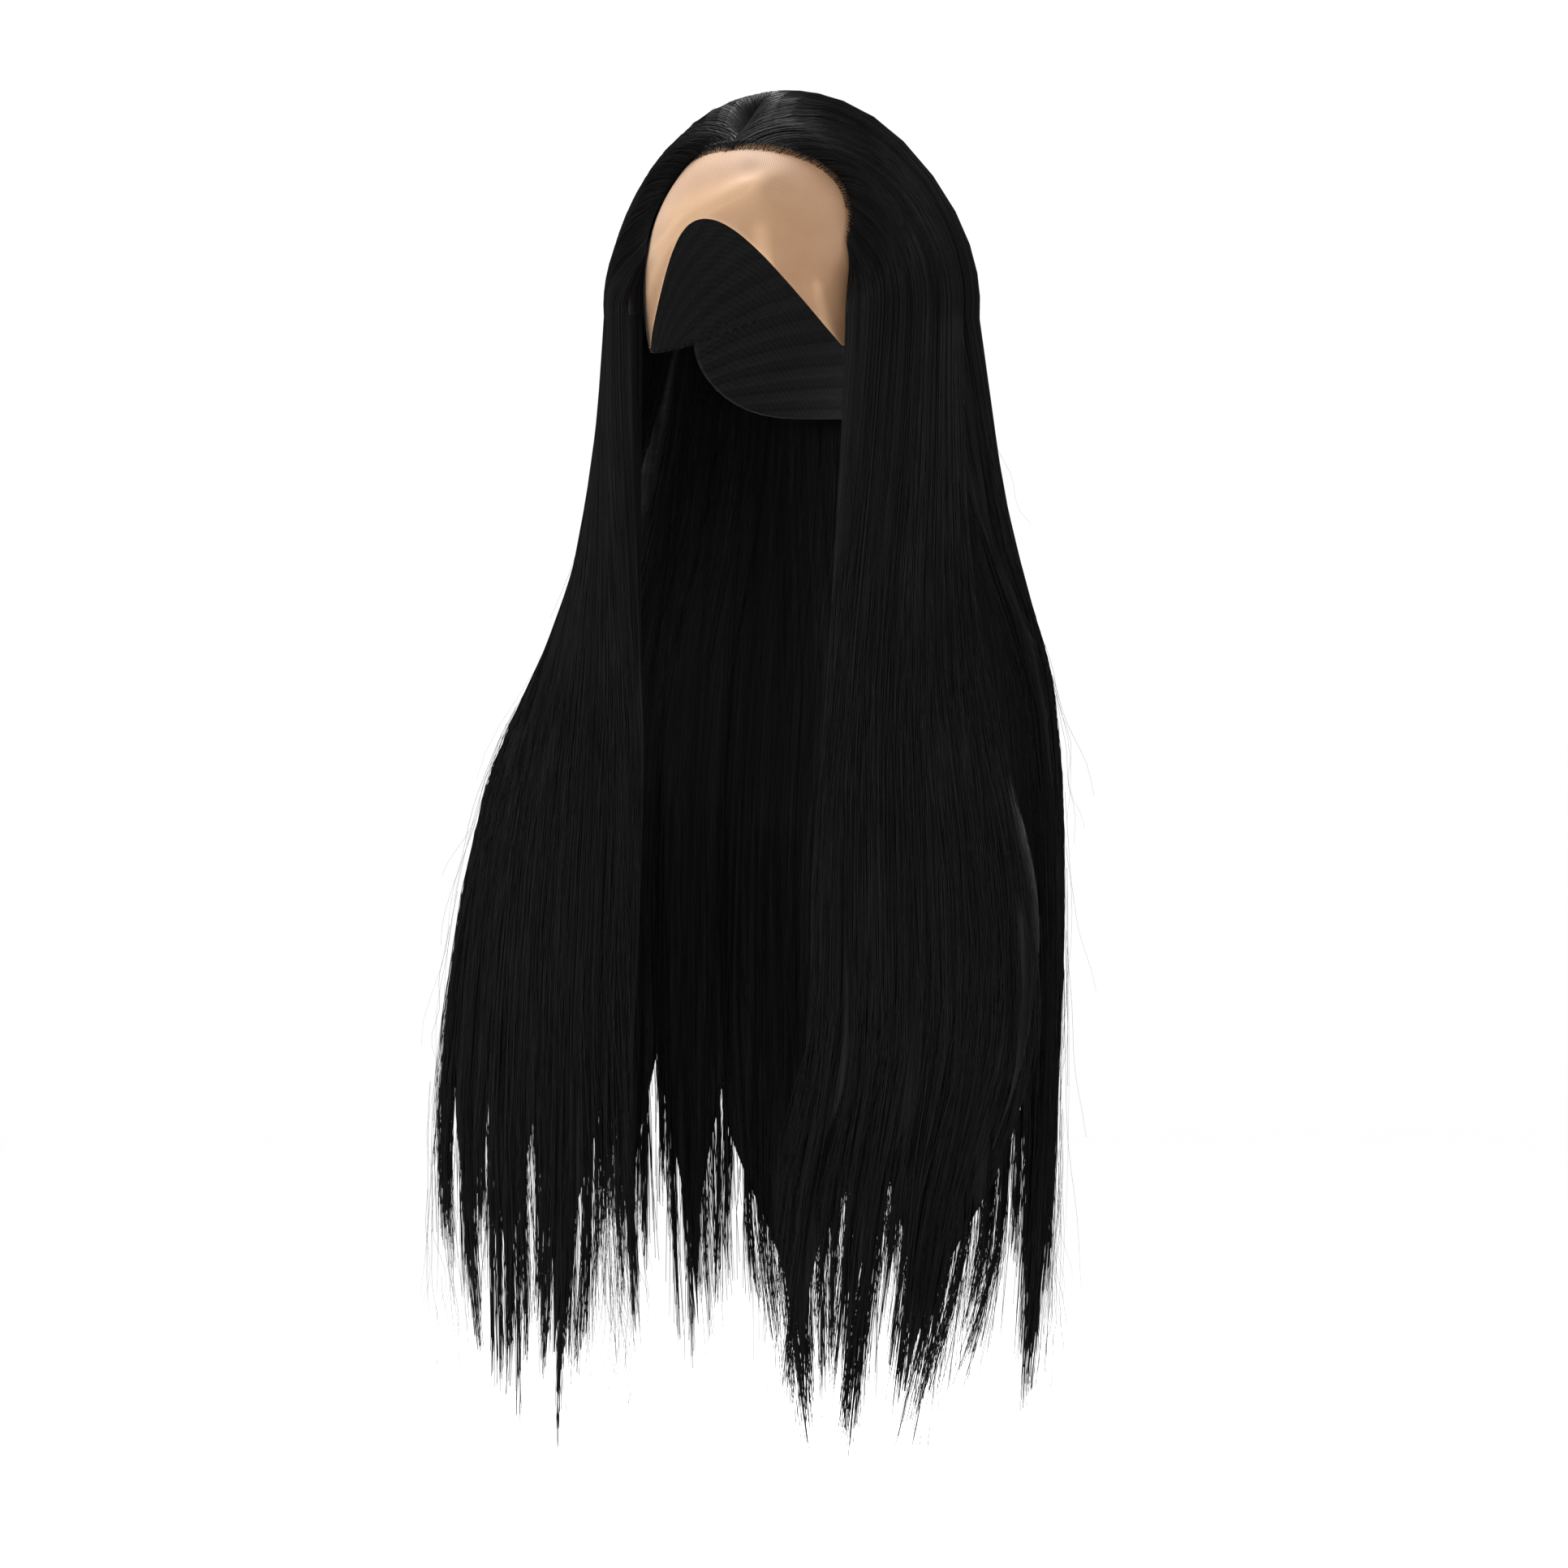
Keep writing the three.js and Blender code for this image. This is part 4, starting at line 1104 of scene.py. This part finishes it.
def cap_edge():
    """The left half of the cap's edge as directions on the head form, from the arch's top to the middle of
    the nape: down the arch's side, along the ear tab, over the rise round the ear, and along the nape."""
    half, rise = HAIRLINE_WIDTH / 2 + UNDERLAP_SIDE, HAIRLINE_SHOULDER + UNDERLAP_TOP
    turn = np.linspace(math.pi / 2, 0, 36)
    arch = front_direction(half * np.cos(turn), SPRING + rise * np.sin(turn))
    z = np.linspace(SPRING, -EAR_TAB_DROP, 14)[1:]
    side = front_direction(np.full_like(z, half), z)
    t = np.linspace(0, 1, 12)[1:]
    low, top, nape = -EAR_TAB_DROP, -EAR_RISE_DROP, -NAPE_DROP
    front, middle, behind = -EAR_FRONT, (EAR_BACK - EAR_FRONT) / 2, EAR_BACK
    start = side[-1, 1] * HEAD_LENGTH / 2
    hem = np.concatenate([cubic(points, t) for points in (
        ((start, low), (mix(start, front, 0.4), low), (mix(start, front, 0.7), low), (front, low)),
        ((front, low), (front, mix(low, top, 0.667)), (mix(front, middle, 0.333), top), (middle, top)),
        ((middle, top), (mix(middle, behind, 0.667), top), (behind, mix(low, top, 0.667)), (behind, low)),
        ((behind, low), (behind, mix(nape, top, 0.4)), (mix(NAPE_BACK, behind, 0.6), nape), (NAPE_BACK, nape)),
    )])
    uy, uz = hem[:, 0] / (HEAD_LENGTH / 2), (hem[:, 1] + CROWN_HEIGHT) / LOWER_HEIGHT
    around = np.stack([np.sqrt(np.clip(1 - uy**2 - uz**2, 0, 1)), uy, uz], -1)
    last = around[-1]
    wide = math.sqrt(1 - last[2] ** 2)
    turn = np.linspace(math.atan2(last[0], last[1]), 0, 13)[1:]
    hem_back = np.stack([wide * np.sin(turn), wide * np.cos(turn), np.full_like(turn, last[2])], -1)
    return np.concatenate([arch, side, around, hem_back])


def cap_cloth():
    """The cap as a thin shell on the head form: great circles from its middle line out to its edge, which is
    rolled. The left half is mirrored to the right, and the two are welded along the middle line."""
    edge = cap_edge()
    reach = np.concatenate([[0], np.linalg.norm(np.diff(edge, axis=0), axis=1).cumsum()])
    reach /= reach[-1]
    first, last = (math.atan2(e[1], e[2]) for e in (edge[0], edge[-1]))
    turn = mix(first, last, ramp(reach, -0.35, 1.0) - (1 - ramp(reach, 0, 0.3)) * ramp(0.0, -0.35, 1.0))
    turn[0], turn[-1] = first, last
    spine = np.stack([np.zeros_like(turn), np.sin(turn), np.cos(turn)], -1)
    t = np.concatenate([np.linspace(0, 0.93, 24), [0.95, 0.965, 0.98, 1.0]])
    s = t[None, :, None]
    angle = np.maximum(np.arccos(np.clip((edge * spine).sum(-1), -1, 1))[:, None, None], 1e-6)
    blend = np.sin((1 - s) * angle) * spine[:, None] + np.sin(s * angle) * edge[:, None]
    u = unit(blend / np.sin(angle))
    roll = ramp(t, 0.94, 0.97)
    grids = [head_point(u, lift)[0] for lift in (1.1 + 0.35 * roll, 0.15 - 0.1 * roll)]
    half = u.shape[0] * u.shape[1]
    index = np.arange(half).reshape(u.shape[:2])
    skin = grid_quads(index)
    rim = quads(index[:-1, -1], index[1:, -1], index[1:, -1] + half, index[:-1, -1] + half)
    faces = np.concatenate([skin, skin[:, ::-1] + half, rim])
    left = np.concatenate([g.reshape(-1, 3) for g in grids])
    points = np.concatenate([left, left * [-1, 1, 1]])
    faces = np.concatenate([faces, faces[:, ::-1] + 2 * half])
    row = np.arctan2(grids[0][..., 1] + 60, grids[0][..., 2] + 170) * 150
    uv = np.tile(np.stack([grids[0][..., 0], row], -1).reshape(-1, 2), (4, 1)) * MM
    return face_out(new_object("cap_cloth", points, faces, uv), weld=True)


# Sizes and colours that a user would change


class HairSizes(bpy.types.PropertyGroup):
    density: FloatProperty(
        name="Density", description="Share of the full number of strands", default=1.0, min=0.1, max=2.0
    )
    width: FloatProperty(
        name="Strand width", description="Width of a strand at its thickest, in mm", default=0.38,
        min=0.1, max=2.0,
    )
    # Dark and Light are the ends of the streak colour: painted shade in the furrows and painted sheen on the
    # ridges of the bumped bodies, and random tone on the strands.
    dark: FloatVectorProperty(
        name="Dark", description="Colour in the furrows", subtype="COLOR", default=(0.0008, 0.0008, 0.0009)
    )
    light: FloatVectorProperty(
        name="Light", description="Colour of the light strands", subtype="COLOR",
        default=(0.0085, 0.0081, 0.008),
    )
    roughness: FloatProperty(name="Roughness", description="How soft the sheen is", default=0.4, min=0, max=1)
    shine: FloatProperty(name="Shine", description="How strong the sheen is", default=0.06, min=0, max=1)


class LaceSizes(bpy.types.PropertyGroup):
    colour: FloatVectorProperty(
        name="Colour", description="Colour of the lit lace", subtype="COLOR", default=(0.43, 0.262, 0.146)
    )
    # The shade colour is painted shade: the lace's colour in its sunken creases and on the wearer's left.
    shade: FloatVectorProperty(
        name="Shade", description="Its colour in the folds", subtype="COLOR", default=(0.2, 0.098, 0.042)
    )
    sheer: FloatProperty(
        name="Film", description="How much of a hole in the net is closed", default=0.66, min=0, max=1
    )
    pitch: FloatProperty(
        name="Pitch", description="From thread to thread", default=0.001, unit="LENGTH", min=0.0005, max=0.01
    )


class CapSizes(bpy.types.PropertyGroup):
    colour: FloatVectorProperty(
        name="Colour", description="Colour of the net", subtype="COLOR", default=(0.011, 0.0105, 0.0105)
    )
    weft_colour: FloatVectorProperty(
        name="Wefts", description="Colour of the sewn rows", subtype="COLOR", default=(0.006, 0.006, 0.007)
    )
    weft: FloatProperty(
        name="Rows", description="From one row of wefts to the next", default=0.012, unit="LENGTH",
        min=0.004, max=0.03,
    )


class StageSizes(bpy.types.PropertyGroup):
    colour: FloatVectorProperty(
        name="Floor", description="Colour of the floor", subtype="COLOR", default=(0.95, 0.95, 0.95)
    )
    distance: FloatProperty(
        name="Distance", description="From the camera to the wig", default=9.0, unit="LENGTH", min=1, max=10
    )
    azimuth: FloatProperty(
        name="Azimuth", description="How far round the camera is", default=math.radians(24), unit="ROTATION"
    )


class WIG_OT_materials(bpy.types.Operator):
    """Builds the node groups that the materials share"""

    bl_idname = "wig.materials"
    bl_label = "Shared patterns"

    def execute(self, context):
        combed_group()
        net_group()
        return {"FINISHED"}


class WIG_OT_bodies(bpy.types.Operator):
    """Builds the opaque bodies of the hair on the cap and of the three falls"""

    bl_idname = "wig.bodies"
    bl_label = "Hair bodies"

    def execute(self, context):
        material = hair_material("combed_body", context.scene.wig_hair, 900.0, 4.0, 0.0006)
        dress(crown_body(), material, "crown_hair")
        for fall in FALLS:
            dress(fall_body(fall), material, f"{fall}_fall")
        return {"FINISHED"}


class WIG_OT_strands(bpy.types.Operator):
    """Builds the strands of the front falls and the back, from the hairline to the tips"""

    bl_idname = "wig.strands"
    bl_label = "Strands"

    def execute(self, context):
        sizes = context.scene.wig_hair
        material = hair_material("strand", sizes, 60.0, 3.0, 0.0)
        for fall, first_seed in (("left", 100), ("right", 200)):
            for step, (kind, count) in enumerate(FRONT_STRANDS):
                add_strands(f"{fall}_strands_{kind}", sizes, material, fall, kind, count, first_seed + step)
        for fall, count, seed, curl in SIDE_STRAYS:
            add_strays(f"{fall}_strays", material, fall, count, seed, 0.22, curl, 0.0, 0.75)
        for fall, count, seed, curl in TIP_STRAYS:
            add_strays(f"{fall}_tip_strays", material, fall, count, seed, 0.24, curl, 0.66, 0.84)
        add_strands("back_left_strands", sizes, material, "back", "outer", BACK_OUTER, 300, 0.0, 0.5)
        add_strands("back_right_strands", sizes, material, "back", "outer", BACK_OUTER, 301, 0.5, 1.0)
        for step, (kind, count) in enumerate(BACK_STRANDS):
            add_strands(f"back_strands_{kind}", sizes, material, "back", kind, count, 302 + step)
        add_knots(material, KNOT_COUNT)
        return {"FINISHED"}


class WIG_OT_lace(bpy.types.Operator):
    """Builds the sheer lace front from its cut edge up to where it runs under the hair"""

    bl_idname = "wig.lace"
    bl_label = "Lace front"

    def execute(self, context):
        o, area = lace_sheet()
        dress(o, lace_material(context.scene.wig_lace), "lace_front", slot="lace")
        return {"FINISHED"}


class WIG_OT_cap(bpy.types.Operator):
    """Builds the cap cloth: a thin shell on the head form, from its middle line out to a rolled edge"""

    bl_idname = "wig.cap"
    bl_label = "Cap"

    def execute(self, context):
        dress(cap_cloth(), cap_material(context.scene.wig_cap), "cap", slot="cap_cloth")
        return {"FINISHED"}


class WIG_OT_stage(bpy.types.Operator):
    """Builds the floor that sweeps up into a backdrop, the lamps and the camera"""

    bl_idname = "wig.stage"
    bl_label = "Stage"

    def execute(self, context):
        sizes, scene = context.scene.wig_stage, context.scene
        low, high = (np.array(v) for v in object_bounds())
        centre = (low + high) / 2
        turned = Matrix.Rotation(sizes.azimuth, 4, "Z")
        add_floor(sizes, low[2] - FLOOR_BELOW)

        camera = bpy.data.objects.new("camera", bpy.data.cameras.new("camera"))
        camera.data.sensor_width = SENSOR
        camera.data.lens = SENSOR * sizes.distance / ((high[2] - low[2]) * FRAME_MARGIN)
        camera.data.clip_end = 100
        camera.location = Vector(centre) + turned @ Vector((0, -sizes.distance, 0))
        camera.rotation_euler = (math.pi / 2, 0, sizes.azimuth)
        scene.collection.objects.link(camera)
        scene.camera = camera

        for name, spot, aim, power, size in LAMPS:
            lamp = bpy.data.objects.new(name, bpy.data.lights.new(name, "AREA"))
            lamp.data.energy, lamp.data.shape, lamp.data.size = power, "DISK", size
            place, target = turned @ Vector(spot), turned @ Vector(aim)
            lamp.location = Vector(centre) + place
            lamp.rotation_euler = (target - place).to_track_quat("-Z", "Y").to_euler()
            scene.collection.objects.link(lamp)

        scene.world = scene.world or bpy.data.worlds.new("world")
        scene.world.use_nodes = True
        sky = next(n for n in scene.world.node_tree.nodes if n.type == "BACKGROUND")
        sky.inputs["Color"].default_value = (1, 1, 1, 1)
        sky.inputs["Strength"].default_value = 1.05
        scene.view_settings.view_transform = "Standard"
        return {"FINISHED"}


def add_floor(sizes, height):
    """The floor and the backdrop: a profile in the camera's direction, flat, then a quarter circle, then a
    wall, carried straight across."""
    turn = np.linspace(0, math.pi / 2, 24)
    far = sizes.distance + 1.0
    bend = np.stack([far + SWEEP * np.sin(turn), SWEEP - SWEEP * np.cos(turn)], -1)
    profile = np.concatenate([[[-far, 0.0]], bend, [[far + SWEEP, WALL_HEIGHT]]])
    a = sizes.azimuth
    ahead, aside = np.array([-math.sin(a), math.cos(a)]), np.array([math.cos(a), math.sin(a)])
    flat = profile[:, None, :1] * ahead + np.array([-far, far])[None, :, None] * aside
    up = np.broadcast_to(profile[:, None, 1:], (len(profile), 2, 1)) + height
    index = np.arange(len(profile) * 2).reshape(-1, 2)
    faces = quads(index[:-1, 0], index[:-1, 1], index[1:, 1], index[1:, 0])
    floor = new_object("floor", np.concatenate([flat, up], -1) / MM, faces)
    material, tree, shader = new_material("floor_paint")
    feed(tree, shader, {"Base Color": (*sizes.colour, 1), "Roughness": 0.9, "Specular IOR Level": 0.1})
    floor.data.materials.append(material)
    floor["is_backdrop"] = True


GROUPS = {"wig_hair": HairSizes, "wig_lace": LaceSizes, "wig_cap": CapSizes, "wig_stage": StageSizes}
OPERATORS = (WIG_OT_materials, WIG_OT_bodies, WIG_OT_strands, WIG_OT_lace, WIG_OT_cap, WIG_OT_stage)


class WIG_PT_panel(bpy.types.Panel):
    """Lists the wig's pieces and their sizes"""

    bl_idname = "WIG_PT_panel"
    bl_label = "Lace front wig"
    bl_space_type = "VIEW_3D"
    bl_region_type = "UI"
    bl_category = "Wig"

    def draw(self, context):
        for group in GROUPS:
            box = self.layout.box()
            sizes = getattr(context.scene, group)
            for name in sizes.bl_rna.properties.keys():
                if name not in {"rna_type", "name"}:
                    box.prop(sizes, name)
        for kind in OPERATORS:
            self.layout.operator(kind.bl_idname)


def register():
    for kind in (*GROUPS.values(), *OPERATORS, WIG_PT_panel):
        bpy.utils.register_class(kind)
    for name, kind in GROUPS.items():
        setattr(bpy.types.Scene, name, PointerProperty(type=kind))


def unregister():
    for name in GROUPS:
        delattr(bpy.types.Scene, name)
    for kind in (WIG_PT_panel, *reversed(OPERATORS), *reversed(GROUPS.values())):
        bpy.utils.unregister_class(kind)


def main():
    register()
    bpy.ops.wig.materials()
    bpy.ops.wig.bodies()
    bpy.ops.wig.strands()
    bpy.ops.wig.lace()
    bpy.ops.wig.cap()
    bpy.ops.wig.stage()


if __name__ == "__main__":
    main()
